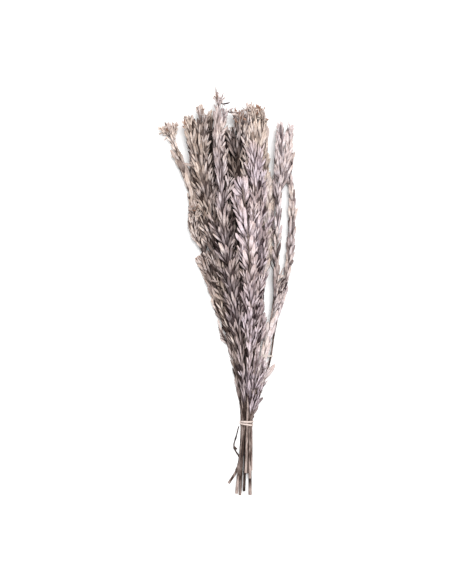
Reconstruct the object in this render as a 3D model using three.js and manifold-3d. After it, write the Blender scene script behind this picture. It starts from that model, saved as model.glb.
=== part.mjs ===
// A bunch of dried eucalyptus lying on a table: eleven cut leafy stems, some forked, held by a flat
// tie wound twice round them, with a fine thread round the two stems on the right.
//
// Millimetres. +Y runs from the cut ends to the leafy tips, +X is to the right as seen from above,
// and +Z is up from the table at z = 0. The origin is the middle of the tie's flat underside.

import * as THREE from "three";
import { ConvexGeometry } from "three/addons/geometries/ConvexGeometry.js";
import { mergeVertices } from "three/addons/utils/BufferGeometryUtils.js";
import Module from "manifold-3d";

const wasm = await Module();
wasm.setup();

// ---------------------------------------------------------------- driving dimensions

const GAP = 0.3; // between two pieces that touch on the real bunch
const SEED = 7;

// A stem's radius at its cut end, in the tie and at its tip.
const STEM = { cutRadius: 1.9, tiedRadius: 1.7, tipRadius: 0.8, sides: 6, ringEvery: 34 };
// A side shoot starts a little slimmer than the stem that it grows on.
const SHOOT = { rootRadius: 1.1, tipRadius: 0.7, sides: 5, ringEvery: 26 };
const BARE_TWIG = { rootRadius: 1.0, tipRadius: 0.55, sides: 5, ringEvery: 8 };

// The bundle in the tie: three rows of stems, nested like stacked pipes, and where each row starts.
const BUNDLE = { spacing: 4.1, rowStart: [-7.55, -5.5, -3.45] };
const TIE = { thickness: 1.1, width: 3.5, upperY: 2.2, lowerY: -1.6, lowerSlope: 0.13 };
const THREAD = {
  thickness: 0.9,
  width: 1.1,
  y: 99,
  stems: ["leafy_stem_far_right", "leafy_stem_right"],
};

// A leaf is a strap with a blunt point: half width and place along it, as shares of its size.
const LEAF_OUTLINE = [
  [0, 0],
  [0.34, 0.3],
  [0.5, 0.72],
  [0, 1],
];
const LEAF = {
  length: 25,
  width: 6,
  keel: 0.95, // its thickest, along the midrib
  every: 10.1, // from one leaf to the next along a stem
  turn: 137.5, // degrees round the stem from one leaf to the next
  opening: 29, // degrees between the leaf and its stem
  bow: 0.12, // how far the tip bends back to the stem, as a share of the length
  rootAt: 0.5, // how far out from the middle of the stem a leaf starts, as a share of its radius
  bareStem: 36, // above the tie
  bareShoot: 10,
};
// The leaves at a tip: a whorl over the last stretch of the stem, with upright ones in its middle.
const HEAD = { whorl: 4, upright: 1, length: 0.8, depth: 7 };
// A leaf that lies on the table comes down to it over the first stretch of its length.
const PRESSED = { length: 30, width: 6.2, opening: 26, landing: 0.28 };
const LEAST_LEAF_GAP = 0.45; // between leaves of different stems

// What a leaf may do to keep clear of its neighbours: tuck in or open out, swing round, shorten.
const BENDS = [
  { opening: 1, swing: 0, length: 1 },
  { opening: 0.7, swing: 0, length: 1 },
  { opening: 0.85, swing: 24, length: 1 },
  { opening: 0.85, swing: -24, length: 1 },
  { opening: 1.3, swing: 12, length: 0.9 },
  { opening: 0.55, swing: 44, length: 0.92 },
  { opening: 0.55, swing: -44, length: 0.92 },
  { opening: 0.45, swing: 0, length: 0.8 },
  { opening: 0.5, swing: 72, length: 0.8 },
  { opening: 0.5, swing: -72, length: 0.8 },
];

// Each stem: its cut end, its row and place in the tie, and its route from the tie to its tip.
// flare is how wide the leaves at a tip stand open, in degrees. A shoot leaves its stem at fromY.
// bare is how far above the tie a stem's leaves start, where it isn't LEAF.bareStem. pressedAt
// gives the leaves that lie flat on the table, by side: 1 is the right.
const STEMS = [
  {
    name: "leafy_stem_far_left",
    colour: 0xb09a92,
    cut: [-26, -87, 2.1],
    bend: [-15.5, -60, 2.4],
    seat: [0, 0],
    route: [
      [-11.5, 47, 5],
      [-22, 109, 7],
      [-42, 182, 8],
      [-61, 250, 8.5],
      [-77, 321, 9],
      [-91, 373, 10],
      [-105, 405, 10],
      [-115, 433, 9],
    ],
    flare: 72,
    pressedAt: [
      { fromY: 205, side: 1 },
      { fromY: 318, side: -1 },
    ],
    shoots: [
      { fromY: 140, route: [[-50, 196, 8.5], [-66, 240, 8]], flare: 42 },
      { fromY: 236, route: [[-73, 280, 14], [-79, 310, 17]], flare: 50 },
    ],
    bareTwigs: [
      [[-13.6, -48, 2.6], [-19, -35, 4], [-15.5, -19, 5], [-12.4, -9.5, 5.6]],
      [[-22.5, 111, 7], [-30, 119, 7.5], [-36, 129, 7.5]],
    ],
  },
  {
    name: "leafy_stem_centre_back",
    colour: 0x8f7f78,
    cut: [-10, -104, 2.1],
    bend: [-5.8, -32, 2.6],
    seat: [0, 1],
    route: [[-5.5, 47, 5], [-12, 113, 7], [-21, 197, 8], [-29, 277, 8.5], [-31, 351, 9], [-29, 424, 9]],
    flare: 30,
    pressedAt: [{ fromY: 150, side: -1 }],
    shoots: [],
  },
  {
    name: "leafy_stem_right_centre",
    colour: 0xb5a69d,
    cut: [-1.8, -75, 2.1],
    seat: [0, 2],
    route: [[3.5, 47, 5], [9, 113, 7], [15, 197, 8], [22, 277, 8.5], [26, 358, 9], [27, 430, 9]],
    flare: 28,
    pressedAt: [{ fromY: 345, side: 1 }],
    shoots: [{ fromY: 185, route: [[25, 236, 12], [32, 280, 14], [33, 350, 14]], flare: 25 }],
  },
  {
    name: "leafy_stem_far_right",
    colour: 0xb9aca8,
    cut: [5, -104, 2.1],
    bend: [4.7, -28, 2.6],
    seat: [0, 3],
    route: [
      [18.5, 41, 5.5],
      [27, 67, 7],
      [35, 97, 8],
      [40, 130, 8.5],
      [47, 163, 9],
      [54, 196, 9],
      [60, 230, 9],
      [65, 278, 9.5],
      [68, 325, 10],
      [65, 388, 9],
    ],
    bare: 128,
    flare: 25,
    pressedAt: [
      { fromY: 190, side: 1 },
      { fromY: 300, side: -1 },
    ],
    loneLeaves: [
      { atY: 8, size: 0.36 },
      { atY: 66, size: 0.85 },
    ],
    shoots: [],
  },
  {
    name: "leafy_stem_left",
    colour: 0xa8948d,
    cut: [-15, -101, 7.0],
    seat: [1, 0],
    route: [
      [-8, 47, 11],
      [-16, 113, 17],
      [-31, 197, 21],
      [-47, 270, 24],
      [-60, 336, 25],
      [-69, 402, 25],
      [-67, 456, 24],
    ],
    flare: 35,
    shoots: [{ fromY: 325, route: [[-75, 387, 29], [-84, 436, 30]], flare: 38 }],
  },
  {
    name: "leafy_stem_centre",
    colour: 0x85736c,
    cut: [-5, -94, 6.8],
    seat: [1, 1],
    route: [[-1.5, 47, 10.5], [-4, 113, 16], [-8, 197, 20], [-12, 277, 23], [-13, 358, 24], [-10, 446, 22]],
    flare: 42,
    shoots: [],
  },
  {
    name: "leafy_stem_crown",
    colour: 0xb09d95,
    cut: [2.1, -74, 6.9],
    seat: [1, 2],
    route: [[4.5, 47, 11], [7, 113, 17], [4, 197, 22], [5, 277, 25], [8, 358, 26], [12, 452, 25]],
    flare: 48,
    shoots: [{ fromY: 348, route: [[19, 402, 29], [25, 448, 31]], flare: 48 }],
  },
  {
    name: "leafy_stem_right",
    colour: 0xbdb0ab,
    cut: [6.4, -70, 7],
    bend: [6.7, -26, 6.5],
    seat: [1, 3],
    route: [
      [12, 47, 11],
      [24, 97, 13],
      [32, 135, 15],
      [39, 178, 17.5],
      [43, 230, 20],
      [44, 285, 22],
      [47, 343, 23],
      [51, 395, 23],
      [52, 430, 22],
    ],
    flare: 26,
    shoots: [{ fromY: 335, route: [[58, 387, 26], [66, 426, 27]], flare: 32 }],
  },
  {
    name: "leafy_stem_tall",
    colour: 0xbaa9a4,
    cut: [-9.5, -77, 11.2],
    seat: [2, 0],
    route: [
      [-4.5, 47, 17],
      [-10, 113, 26],
      [-21, 197, 34],
      [-33, 277, 38],
      [-39, 343, 39],
      [-44, 417, 38],
      [-41, 474, 36],
    ],
    flare: 64,
    shoots: [{ fromY: 395, route: [[-34, 434, 40], [-24, 455, 38]], flare: 30 }],
  },
  {
    name: "leafy_stem_front",
    colour: 0xb5a5a4,
    cut: [-1.5, -73, 11.3],
    seat: [2, 1],
    route: [[1.5, 47, 18], [4, 113, 28], [5, 182, 35], [2, 248, 40], [-5, 307, 42], [-16, 347, 41]],
    flare: 30,
    leafScale: 1.2,
    shoots: [],
  },
  {
    name: "leafy_stem_front_right",
    colour: 0xb0a09c,
    cut: [4.4, -81, 11.2],
    seat: [2, 2],
    route: [[7.5, 47, 17], [14, 113, 25], [16, 197, 32], [16, 277, 37], [13, 351, 38], [8, 400, 37]],
    flare: 30,
    shoots: [],
  },
];

// ---------------------------------------------------------------- small tools

const UP = new THREE.Vector3(0, 0, 1);
const RIGHT = new THREE.Vector3(1, 0, 0);

function vector([x, y, z]) {
  return new THREE.Vector3(x, y, z);
}

// Seeded random numbers from 0 to 1.
function seededRandom(seed) {
  let state = seed;
  return () => {
    state = (state + 0x6d2b79f5) | 0;
    let mixed = Math.imul(state ^ (state >>> 15), 1 | state);
    mixed = (mixed + Math.imul(mixed ^ (mixed >>> 7), 61 | mixed)) ^ mixed;
    return ((mixed ^ (mixed >>> 14)) >>> 0) / 2 ** 32;
  };
}

const random = seededRandom(SEED);

function about(middle, spread) {
  return middle + (random() * 2 - 1) * spread;
}

// A closed three.js geometry as a solid.
function solidOf(geometry) {
  const bare = geometry.clone();
  bare.deleteAttribute("normal");
  bare.deleteAttribute("uv");
  const merged = mergeVertices(bare, 1e-4);
  return new wasm.Manifold(
    new wasm.Mesh({
      numProp: 3,
      vertProperties: merged.attributes.position.array,
      triVerts: new Uint32Array(merged.index.array),
    }),
  );
}

// A solid as a three.js geometry.
function geometryOf(solid) {
  const mesh = solid.getMesh();
  const geometry = new THREE.BufferGeometry();
  geometry.setAttribute("position", new THREE.BufferAttribute(mesh.vertProperties, 3));
  geometry.setIndex(new THREE.BufferAttribute(mesh.triVerts, 1));
  geometry.computeVertexNormals();
  return geometry;
}

// ---------------------------------------------------------------- stems

// A rod's route through some points: the middles of its rings, and the frames they are turned by.
function routeThrough(points, { sides, ringEvery }) {
  const curve = new THREE.CatmullRomCurve3(points, false, "centripetal");
  const rings = Math.max(3, Math.round(curve.getLength() / ringEvery));
  const middles = curve.getSpacedPoints(rings);
  return { sides, rings, middles, frames: curve.computeFrenetFrames(rings), length: curve.getLength() };
}

// A place on a route by its share of the length: the last ring before it, the point in the middle
// of the rod there and the rod's direction.
function placeOn({ rings, middles }, share) {
  const ring = Math.min(Math.floor(share * rings), rings - 1);
  const middle = middles[ring].clone().lerp(middles[ring + 1], share * rings - ring);
  return { ring, middle, along: middles[ring + 1].clone().sub(middles[ring]).normalize() };
}

// The share of a route's length at which it passes a place along Y. Every stem climbs in Y.
function shareAtY(route, y) {
  let low = 0;
  let high = 1;
  for (let step = 0; step < 30; step += 1) {
    const share = (low + high) / 2;
    if (placeOn(route, share).middle.y < y) low = share;
    else high = share;
  }
  return low;
}

// The direction out of a route at a ring, by its angle round the route.
function outwardAt({ frames }, ring, angle) {
  return frames.normals[ring]
    .clone()
    .multiplyScalar(Math.cos(angle))
    .addScaledVector(frames.binormals[ring], Math.sin(angle));
}

// The angle round a route, in degrees, at which a direction stands out from it.
function azimuthTowards(route, share, direction) {
  const { ring } = placeOn(route, share);
  const { normals, binormals } = route.frames;
  return THREE.MathUtils.radToDeg(
    Math.atan2(direction.dot(binormals[ring]), direction.dot(normals[ring])),
  );
}

// A tapering rod bent along a route: a cylinder whose rings are carried to the route.
function bentRod(route, radiusAt) {
  const rod = new THREE.CylinderGeometry(1, 1, 1, route.sides, route.rings);
  const place = rod.attributes.position;
  for (let i = 0; i < place.count; i += 1) {
    const share = place.getY(i) + 0.5;
    const ring = Math.round(share * route.rings);
    const outward = outwardAt(route, ring, Math.atan2(place.getX(i), place.getZ(i)));
    const reach = Math.hypot(place.getX(i), place.getZ(i)) * radiusAt(share);
    const point = route.middles[ring].clone().addScaledVector(outward, reach);
    place.setXYZ(i, point.x, point.y, point.z);
  }
  return solidOf(rod);
}

// Where a stem stands in the tie, from its row and its place in the row.
function seatOf([row, place]) {
  const lowest = TIE.thickness + GAP + STEM.tiedRadius;
  const rowPitch = BUNDLE.spacing * Math.cos(Math.PI / 6);
  return new THREE.Vector3(BUNDLE.rowStart[row] + place * BUNDLE.spacing, 0, lowest + row * rowPitch);
}

function stemRoute({ cut, bend, seat, route }) {
  const below = (bend ? [cut, bend] : [cut]).map(vector);
  return routeThrough([...below, seatOf(seat), ...route.map(vector)], STEM);
}

function shootRoute(parent, { fromY, route }) {
  const root = placeOn(parent, shareAtY(parent, fromY)).middle;
  return routeThrough([root, ...route.map(vector)], SHOOT);
}

// A stem's radius at a share of its length: it tapers from the cut end to the tie, then to the tip.
function stemTaper(route) {
  const tied = shareAtY(route, 0);
  return (share) =>
    share < tied
      ? THREE.MathUtils.lerp(STEM.cutRadius, STEM.tiedRadius, share / tied)
      : THREE.MathUtils.lerp(STEM.tiedRadius, STEM.tipRadius, (share - tied) / (1 - tied));
}

function straightTaper({ rootRadius, tipRadius }) {
  return (share) => THREE.MathUtils.lerp(rootRadius, tipRadius, share);
}

// ---------------------------------------------------------------- leaves

// One three-sided blade, with a flat underside and a keel along its midrib. bend says where a
// point of the straight blade goes: across it, along it and up from it.
function blade(length, width, bend) {
  const outline = LEAF_OUTLINE.map(([half, along]) => new THREE.Vector2(half * width, along * length));
  const leaf = new THREE.LatheGeometry(outline, 3);
  const place = leaf.attributes.position;
  for (let i = 0; i < place.count; i += 1) {
    const height = place.getZ(i) > width * 0.01 ? LEAF.keel : 0;
    const point = bend(place.getX(i) / Math.sin(Math.PI / 3), place.getY(i), height);
    place.setXYZ(i, point.x, point.y, point.z);
  }
  return solidOf(leaf);
}

// A leaf on a stem, by its share of the stem's length and its azimuth round the stem, in degrees.
// Its root is sunk in the middle of the nearest side of the rod. It opens away from the stem
// towards its azimuth and bends back at the tip.
function stemLeaf({ route, radiusAt }, { share, azimuth, opening, length, width }) {
  const { ring, middle, along } = placeOn(route, share);
  const turn = THREE.MathUtils.degToRad(azimuth);
  const side = (Math.PI * 2) / route.sides;
  const sideMiddle = (Math.floor(turn / side) + 0.5) * side;
  const outward = outwardAt(route, ring, turn);
  outward.addScaledVector(along, -outward.dot(along)).normalize();
  const open = THREE.MathUtils.degToRad(opening);
  const heading = along.clone().multiplyScalar(Math.cos(open)).addScaledVector(outward, Math.sin(open));
  const face = outward.clone().multiplyScalar(Math.cos(open)).addScaledVector(along, -Math.sin(open));
  const across = heading.clone().cross(face);
  const sunk = radiusAt(share) * LEAF.rootAt;
  const root = middle.addScaledVector(outwardAt(route, ring, sideMiddle), sunk);
  return blade(length, width, (x, y, z) =>
    root
      .clone()
      .addScaledVector(across, x)
      .addScaledVector(heading, y)
      .addScaledVector(face, z - LEAF.bow * length * (y / length) ** 2),
  );
}

// A leaf pressed flat on the table: it runs down from its stem, then lies on z = 0.
function pressedLeaf(stem, { fromY, side }) {
  const { middle: root, along } = placeOn(stem, shareAtY(stem, fromY));
  const heading = along.setZ(0).normalize();
  heading.applyAxisAngle(UP, THREE.MathUtils.degToRad(-side * PRESSED.opening));
  const across = heading.clone().cross(UP);
  return blade(PRESSED.length, PRESSED.width, (x, y, z) => {
    const fall = Math.min(1, y / (PRESSED.landing * PRESSED.length));
    return new THREE.Vector3(root.x, root.y, z + root.z * (1 - fall))
      .addScaledVector(across, x)
      .addScaledVector(heading, y);
  });
}

// Everything placed so far that a new leaf has to keep clear of.
class Crowd {
  constructor() {
    this.members = [];
  }

  add(solid, owner) {
    this.members.push({ solid, owner, box: solid.boundingBox() });
  }

  // True if the leaf stands above the table and clear of everything that isn't its own stem.
  isClear(leaf, owner) {
    const box = leaf.boundingBox();
    if (box.min[2] < GAP) return false;
    return this.members.every(
      (member) =>
        member.owner === owner ||
        [0, 1, 2].some(
          (i) =>
            box.min[i] > member.box.max[i] + LEAST_LEAF_GAP ||
            box.max[i] < member.box.min[i] - LEAST_LEAF_GAP,
        ) ||
        leaf.minGap(member.solid, LEAST_LEAF_GAP * 2) > LEAST_LEAF_GAP,
    );
  }
}

// The places of the leaves on one stem or shoot, from its lowest leaf to its tip.
function leafSites(twig) {
  const { length } = twig.route;
  const start = twig.lowestLeaf * length;
  const count = Math.floor((length - start - HEAD.depth) / LEAF.every);
  const firstTurn = random() * 360;
  const sites = [];
  for (let i = 0; i < count; i += 1) {
    sites.push({
      twig,
      order: i,
      share: (start + i * LEAF.every) / length,
      azimuth: firstTurn + i * LEAF.turn + about(0, 12),
      opening: about(LEAF.opening, 6),
      size: about(1, 0.1),
    });
  }
  for (let i = 0; i < HEAD.whorl + HEAD.upright; i += 1) {
    const upright = i >= HEAD.whorl;
    sites.push({
      twig,
      order: count,
      share: 1 - (upright ? 2 : HEAD.depth * (1 - i / HEAD.whorl)) / length,
      azimuth: firstTurn + (360 / HEAD.whorl) * i + about(0, 15),
      opening: upright ? 4 : about(twig.flare, 8),
      size: HEAD.length * about(1, 0.1),
    });
  }
  return sites;
}

// A leaf by itself on the right of a stem.
function loneLeafSite(twig, y, size) {
  const share = shareAtY(twig.route, y);
  const azimuth = azimuthTowards(twig.route, share, RIGHT);
  return { twig, order: 0, share, azimuth, opening: LEAF.opening, size };
}

// ---------------------------------------------------------------- ties

// A band round some stems where they pass a place along Y: the space between two hulls of their
// outlines there, one a gap outside them and one further out by the band's thickness. A band that
// comes down to the table is flat where it lies on it. slope is its fall in Y to the right.
function band(stems, { y, width, thickness, slope = 0 }) {
  const corners = 12;
  const hull = (offset, length) => {
    const points = [];
    for (const { route, radiusAt } of stems) {
      for (const section of [-1, 0, 1]) {
        const share = shareAtY(route, y + (section * width) / 2);
        const { middle } = placeOn(route, share);
        const reach = radiusAt(share) + offset;
        for (let i = 0; i < corners; i += 1) {
          const angle = (i / corners) * Math.PI * 2;
          const x = middle.x + Math.sin(angle) * reach;
          const height = middle.z - Math.cos(angle) * reach;
          const z = height < GAP ? 0 : height;
          for (const end of [-0.5, 0.5]) points.push(new THREE.Vector3(x, y + end * length - x * slope, z));
        }
      }
    }
    return solidOf(new ConvexGeometry(points));
  };
  return hull(GAP + thickness, width).subtract(hull(GAP, width * 2));
}

// The tie: an upper turn, and a lower turn that slopes up into it on the left.
function tieSolid(stems) {
  const upper = band(stems, { ...TIE, y: TIE.upperY });
  const lower = band(stems, { ...TIE, y: TIE.lowerY, slope: TIE.lowerSlope });
  return upper.add(lower);
}

// ---------------------------------------------------------------- the bunch

const crowd = new Crowd();
const sites = [];
const stems = STEMS.map((stem) => {
  const route = stemRoute(stem);
  const taper = stemTaper(route);
  const common = { owner: stem.name, scale: stem.leafScale ?? 1 };
  const bare = shareAtY(route, stem.bare ?? LEAF.bareStem);
  const twigs = [{ ...common, route, radiusAt: taper, lowestLeaf: bare, flare: stem.flare }];
  for (const { flare, ...shoot } of stem.shoots) {
    const path = shootRoute(route, shoot);
    const radiusAt = straightTaper(SHOOT);
    const lowestLeaf = LEAF.bareShoot / path.length;
    twigs.push({ ...common, route: path, radiusAt, lowestLeaf, flare });
  }
  const parts = twigs.map((twig) => bentRod(twig.route, twig.radiusAt));
  for (const points of stem.bareTwigs ?? []) {
    parts.push(bentRod(routeThrough(points.map(vector), BARE_TWIG), straightTaper(BARE_TWIG)));
  }
  for (const pressed of stem.pressedAt ?? []) parts.push(pressedLeaf(route, pressed));
  parts.forEach((part) => crowd.add(part, stem.name));
  twigs.forEach((twig) => sites.push(...leafSites(twig)));
  for (const { atY, size } of stem.loneLeaves ?? []) sites.push(loneLeafSite(twigs[0], atY, size));
  return { name: stem.name, colour: stem.colour, route, radiusAt: taper, parts };
});

const tie = tieSolid(stems);
const threaded = stems.filter(({ name }) => THREAD.stems.includes(name));
const thread = band(threaded, THREAD);
crowd.add(tie, "tie");
crowd.add(thread, "thread");

// The leaves grow in turn, one on each stem, so that none is crowded out by its neighbours.
sites.sort((a, b) => a.order - b.order);
for (const { twig, share, azimuth, opening, size } of sites) {
  for (const bend of BENDS) {
    const leaf = stemLeaf(twig, {
      share,
      azimuth: azimuth + bend.swing,
      opening: opening * bend.opening,
      length: LEAF.length * size * twig.scale * bend.length,
      width: LEAF.width * size * twig.scale,
    });
    if (crowd.isClear(leaf, twig.owner)) {
      crowd.add(leaf, twig.owner);
      stems.find(({ name }) => name === twig.owner).parts.push(leaf);
      break;
    }
  }
}

const bunch = new THREE.Group();

function addNode(name, solid, color, roughness) {
  const material = new THREE.MeshStandardMaterial({ color, roughness, metalness: 0, flatShading: true });
  const mesh = new THREE.Mesh(geometryOf(solid), material);
  mesh.name = name;
  bunch.add(mesh);
}

for (const { name, parts, colour } of stems) addNode(name, wasm.Manifold.union(parts), colour, 0.85);
addNode("tie", tie, 0xeaddd3, 0.8);
addNode("side_thread", thread, 0xd8cfc6, 0.85);

export default bunch;
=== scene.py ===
"""A bunch of dried eucalyptus lying on a pale table, seen from above.

Eleven cut stems, some of them forked, are held by a flat raffia tie, and a fine thread holds two
of them together further up. The scene is in metres; the stems' routes are written in millimetres.
"""

from __future__ import annotations

import logging
import math
import random
from dataclasses import dataclass, field, replace
from enum import Enum
from functools import cached_property
from typing import Callable, Iterable, Sequence

import bpy
import numpy as np
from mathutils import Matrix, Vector

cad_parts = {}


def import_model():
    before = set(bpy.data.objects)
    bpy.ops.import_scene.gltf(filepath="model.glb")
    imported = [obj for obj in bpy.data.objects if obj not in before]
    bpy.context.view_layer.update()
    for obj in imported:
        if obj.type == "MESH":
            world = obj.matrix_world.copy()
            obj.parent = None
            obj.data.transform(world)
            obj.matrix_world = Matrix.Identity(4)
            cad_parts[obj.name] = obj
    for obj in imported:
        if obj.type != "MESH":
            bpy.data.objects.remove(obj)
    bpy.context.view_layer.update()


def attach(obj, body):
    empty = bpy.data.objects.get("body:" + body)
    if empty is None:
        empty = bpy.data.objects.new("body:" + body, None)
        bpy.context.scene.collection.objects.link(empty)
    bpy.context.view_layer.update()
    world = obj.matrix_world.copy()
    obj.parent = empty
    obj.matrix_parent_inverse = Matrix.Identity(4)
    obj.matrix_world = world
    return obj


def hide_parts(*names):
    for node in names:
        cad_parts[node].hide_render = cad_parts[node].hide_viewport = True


LOG = logging.getLogger("eucalyptus_bunch")

MM = 0.001
UP = np.array((0.0, 0.0, 1.0))
Point = tuple[float, float, float]
Socket = bpy.types.NodeSocket
Material = bpy.types.Material
Stops = Sequence[tuple[float, tuple]]  # a colour ramp: each stop's place and linear colour


def linear(red: int, green: int, blue: int) -> tuple[float, float, float, float]:
    """Turn a screen colour into a linear one.

    Args:
        red, green, blue: The screen colour, from 0 to 255.

    Returns:
        The linear colour with an alpha of 1.
    """

    def straight(value: float) -> float:
        """Turn one channel from 0 to 1 into a linear value."""
        return value / 12.92 if value <= 0.04045 else ((value + 0.055) / 1.055) ** 2.4

    return (straight(red / 255), straight(green / 255), straight(blue / 255), 1.0)


WHITE = linear(255, 255, 255)


def unit(vector: np.ndarray) -> np.ndarray:
    """Return a vector scaled to length 1."""
    return vector / np.linalg.norm(vector)


def rising(low: float, share: float) -> float:
    """Return a value that rises from low to 1 as a share goes from 0 to 1."""
    return low + (1 - low) * share


def taper(start: float, loss: float) -> Callable[[float], float]:
    """Return a rod's radius by the share of its length, from its start and its loss in millimetres."""
    return lambda share: (start - loss * share) * MM


def tube_faces(rings: int, width: int, closed: bool = False) -> list[tuple[int, ...]]:
    """Give the side faces of a tube whose points are listed ring by ring.

    Args:
        rings: How many rings it has.
        width: How many points a ring has.
        closed: True if the last ring joins the first.

    Returns:
        The faces, as numbers of its points.
    """
    faces = []
    for ring in range(rings if closed else rings - 1):
        start, ahead = ring * width, (ring + 1) % rings * width
        for side in range(width):
            after = (side + 1) % width
            faces.append((start + side, start + after, ahead + after, ahead + side))
    return faces


# ---------------------------------------------------------------------------- finishes


class NodeSheet:
    """A material's node tree, with short ways to add and join nodes."""

    def __init__(self, name: str) -> None:
        """Start an empty material with a Principled shader.

        Args:
            name: The material's name.
        """
        self.material = bpy.data.materials.new(name)
        self.material.use_nodes = True
        self.nodes = self.material.node_tree.nodes
        self.links = self.material.node_tree.links
        self.shader = self.nodes["Principled BSDF"]

    def join(self, start: Socket, end: Socket) -> None:
        """Link two sockets."""
        self.links.new(start, end)

    def object_place(self, scale: Point) -> Socket:
        """Give the object's own coordinates, scaled along each axis.

        Args:
            scale: How many units a metre becomes, along X, Y and Z.

        Returns:
            The scaled coordinates.
        """
        place = self.nodes.new("ShaderNodeTexCoord")
        mapping = self.nodes.new("ShaderNodeMapping")
        mapping.inputs["Scale"].default_value = scale
        self.join(place.outputs["Object"], mapping.inputs["Vector"])
        return mapping.outputs["Vector"]

    def noise(self, place: Socket, detail: float = 4.0, rough: float = 0.55) -> Socket:
        """Give a noise value from 0 to 1.

        Args:
            place: Where the noise is read, in its own units.
            detail: How many finer layers it has.
            rough: How strong the finer layers are.

        Returns:
            The noise value.
        """
        noise = self.nodes.new("ShaderNodeTexNoise")
        noise.inputs["Scale"].default_value = 1.0
        noise.inputs["Detail"].default_value = detail
        noise.inputs["Roughness"].default_value = rough
        self.join(place, noise.inputs["Vector"])
        return noise.outputs["Fac"]

    def ramp(self, value: Socket, stops: Stops) -> Socket:
        """Turn a value into a colour.

        Args:
            value: What is looked up.
            stops: The colour ramp.

        Returns:
            The colour.
        """
        node = self.nodes.new("ShaderNodeValToRGB")
        elements = node.color_ramp.elements
        while len(elements) < len(stops):
            elements.new(0.5)
        for element, (place, colour) in zip(elements, stops):
            element.position = place
            element.color = colour
        self.join(value, node.inputs["Fac"])
        return node.outputs["Color"]

    def tint(self, colour: Socket, share: float, value: Socket, stops: Stops) -> Socket:
        """Multiply a colour by the one that a value looks up.

        Args:
            colour: The colour below.
            share: How much of the tint there is.
            value: What is looked up.
            stops: The tint's colour ramp.

        Returns:
            The tinted colour.
        """
        tint = self.ramp(value, stops)
        node = self.nodes.new("ShaderNodeMix")
        node.data_type = "RGBA"
        node.blend_type = "MULTIPLY"
        node.inputs["Factor"].default_value = share
        colours = [socket for socket in node.inputs if socket.type == "RGBA"]
        for name, source in (("A", colour), ("B", tint)):
            self.join(source, next(socket for socket in colours if socket.name == name))
        return next(output for output in node.outputs if output.type == "RGBA")

    def sum(self, kind: str, first: Socket, second: Socket | float) -> Socket:
        """Work on two values.

        Args:
            kind: Blender's name for the sum, such as ADD.
            first: The first value.
            second: The second value.

        Returns:
            The result.
        """
        node = self.nodes.new("ShaderNodeMath")
        node.operation = kind
        self.join(first, node.inputs[0])
        if isinstance(second, Socket):
            self.join(second, node.inputs[1])
        else:
            node.inputs[1].default_value = second
        return node.outputs[0]

    def bump(self, height: Socket, distance: float, strength: float) -> None:
        """Add relief to the shader.

        Args:
            height: The height from 0 to 1.
            distance: What a height of 1 is, in metres.
            strength: How much of it shows.
        """
        node = self.nodes.new("ShaderNodeBump")
        node.inputs["Distance"].default_value = distance
        node.inputs["Strength"].default_value = strength
        self.join(height, node.inputs["Height"])
        self.join(node.outputs["Normal"], self.shader.inputs["Normal"])

    def dress(self, colour: Socket, roughness: float, gloss: float | None = None) -> None:
        """Give the shader its colour and its gloss.

        Args:
            colour: The base colour.
            roughness: How matt it is, from 0 to 1.
            gloss: How strongly it reflects, if not as usual.
        """
        self.join(colour, self.shader.inputs["Base Color"])
        self.shader.inputs["Roughness"].default_value = roughness
        if gloss is not None:
            self.shader.inputs["Specular IOR Level"].default_value = gloss

    def shade(self) -> tuple[Socket, Socket, Socket]:
        """Give the piece's own three values, which its mesh keeps as the colour SHADE.

        Returns:
            How pale it is, the place along it and the place across it.
        """
        attribute = self.nodes.new("ShaderNodeAttribute")
        attribute.attribute_name = SHADE
        split = self.nodes.new("ShaderNodeSeparateColor")
        self.join(attribute.outputs["Color"], split.inputs["Color"])
        return split.outputs["Red"], split.outputs["Green"], split.outputs["Blue"]


# For leaves, how pale it is also holds painted shade where they lie under others or in a slit.
SHADE = "shade"  # a mesh's own values: how pale it is, the place along it and the place across it


@dataclass(frozen=True)
class LeafFinish:
    """A dry leaf: matt, mottled, with a pale midrib; its dark root and brown edge are partly painted shade.
    """

    slot: str
    dark: tuple
    middle: tuple
    light: tuple
    # The brown edge is partly the leaf's own colour and partly painted shade of the dark outline between
    # leaves.
    edge: tuple = linear(92, 72, 68)
    # The root is browner and carries painted shade where it sits in the crevice at its stem; the tip is a
    # little brown.
    root_shade_to_tip: Stops = (
        (0.0, linear(64, 52, 51)), (0.3, linear(173, 165, 163)), (0.55, WHITE),
        (1.0, linear(236, 227, 220)),
    )
    rib: Stops = (
        (0.0, linear(255, 250, 244)), (0.13, linear(228, 216, 210)), (0.22, WHITE), (0.72, WHITE),
    )
    warm_to_cool: Stops = ((0.38, linear(255, 250, 245)), (0.6, linear(247, 246, 254)))
    mottling: Stops = ((0.3, linear(190, 180, 176)), (0.62, WHITE))
    veins: float = 46.0  # how fast the side veins follow each other along it
    vein_slant: float = -5.0

    def material(self) -> Material:
        """Make the material.

        Returns:
            The new material.
        """
        sheet = NodeSheet(self.slot)
        pale, along, across = sheet.shade()
        # pale is the leaf's own tone less its painted cover shade.
        colour = sheet.ramp(pale, ((0.0, self.dark), (0.45, self.middle), (1.0, self.light)))
        region = sheet.noise(sheet.object_place((32, 24, 32)), detail=2)
        colour = sheet.tint(colour, 0.8, region, self.warm_to_cool)
        mottle = sheet.noise(sheet.object_place((420, 420, 420)), detail=5)
        colour = sheet.tint(colour, 0.6, mottle, self.mottling)
        # Darker root: its browner colour with painted shade.
        colour = sheet.tint(colour, 0.95, along, self.root_shade_to_tip)
        # Pale midrib, and a brown edge that is partly painted shade.
        colour = sheet.tint(colour, 0.7, across, (*self.rib, (1.0, self.edge)))
        sheet.dress(colour, 0.85, gloss=0.12)
        slant = sheet.sum("MULTIPLY", across, self.vein_slant)
        slant = sheet.sum("ADD", sheet.sum("MULTIPLY", along, self.veins), slant)
        veins = sheet.sum("MULTIPLY", sheet.sum("SINE", slant, 0.0), 0.12)
        sheet.bump(sheet.sum("ADD", veins, mottle), 0.0003, 0.6)
        return sheet.material


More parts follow.
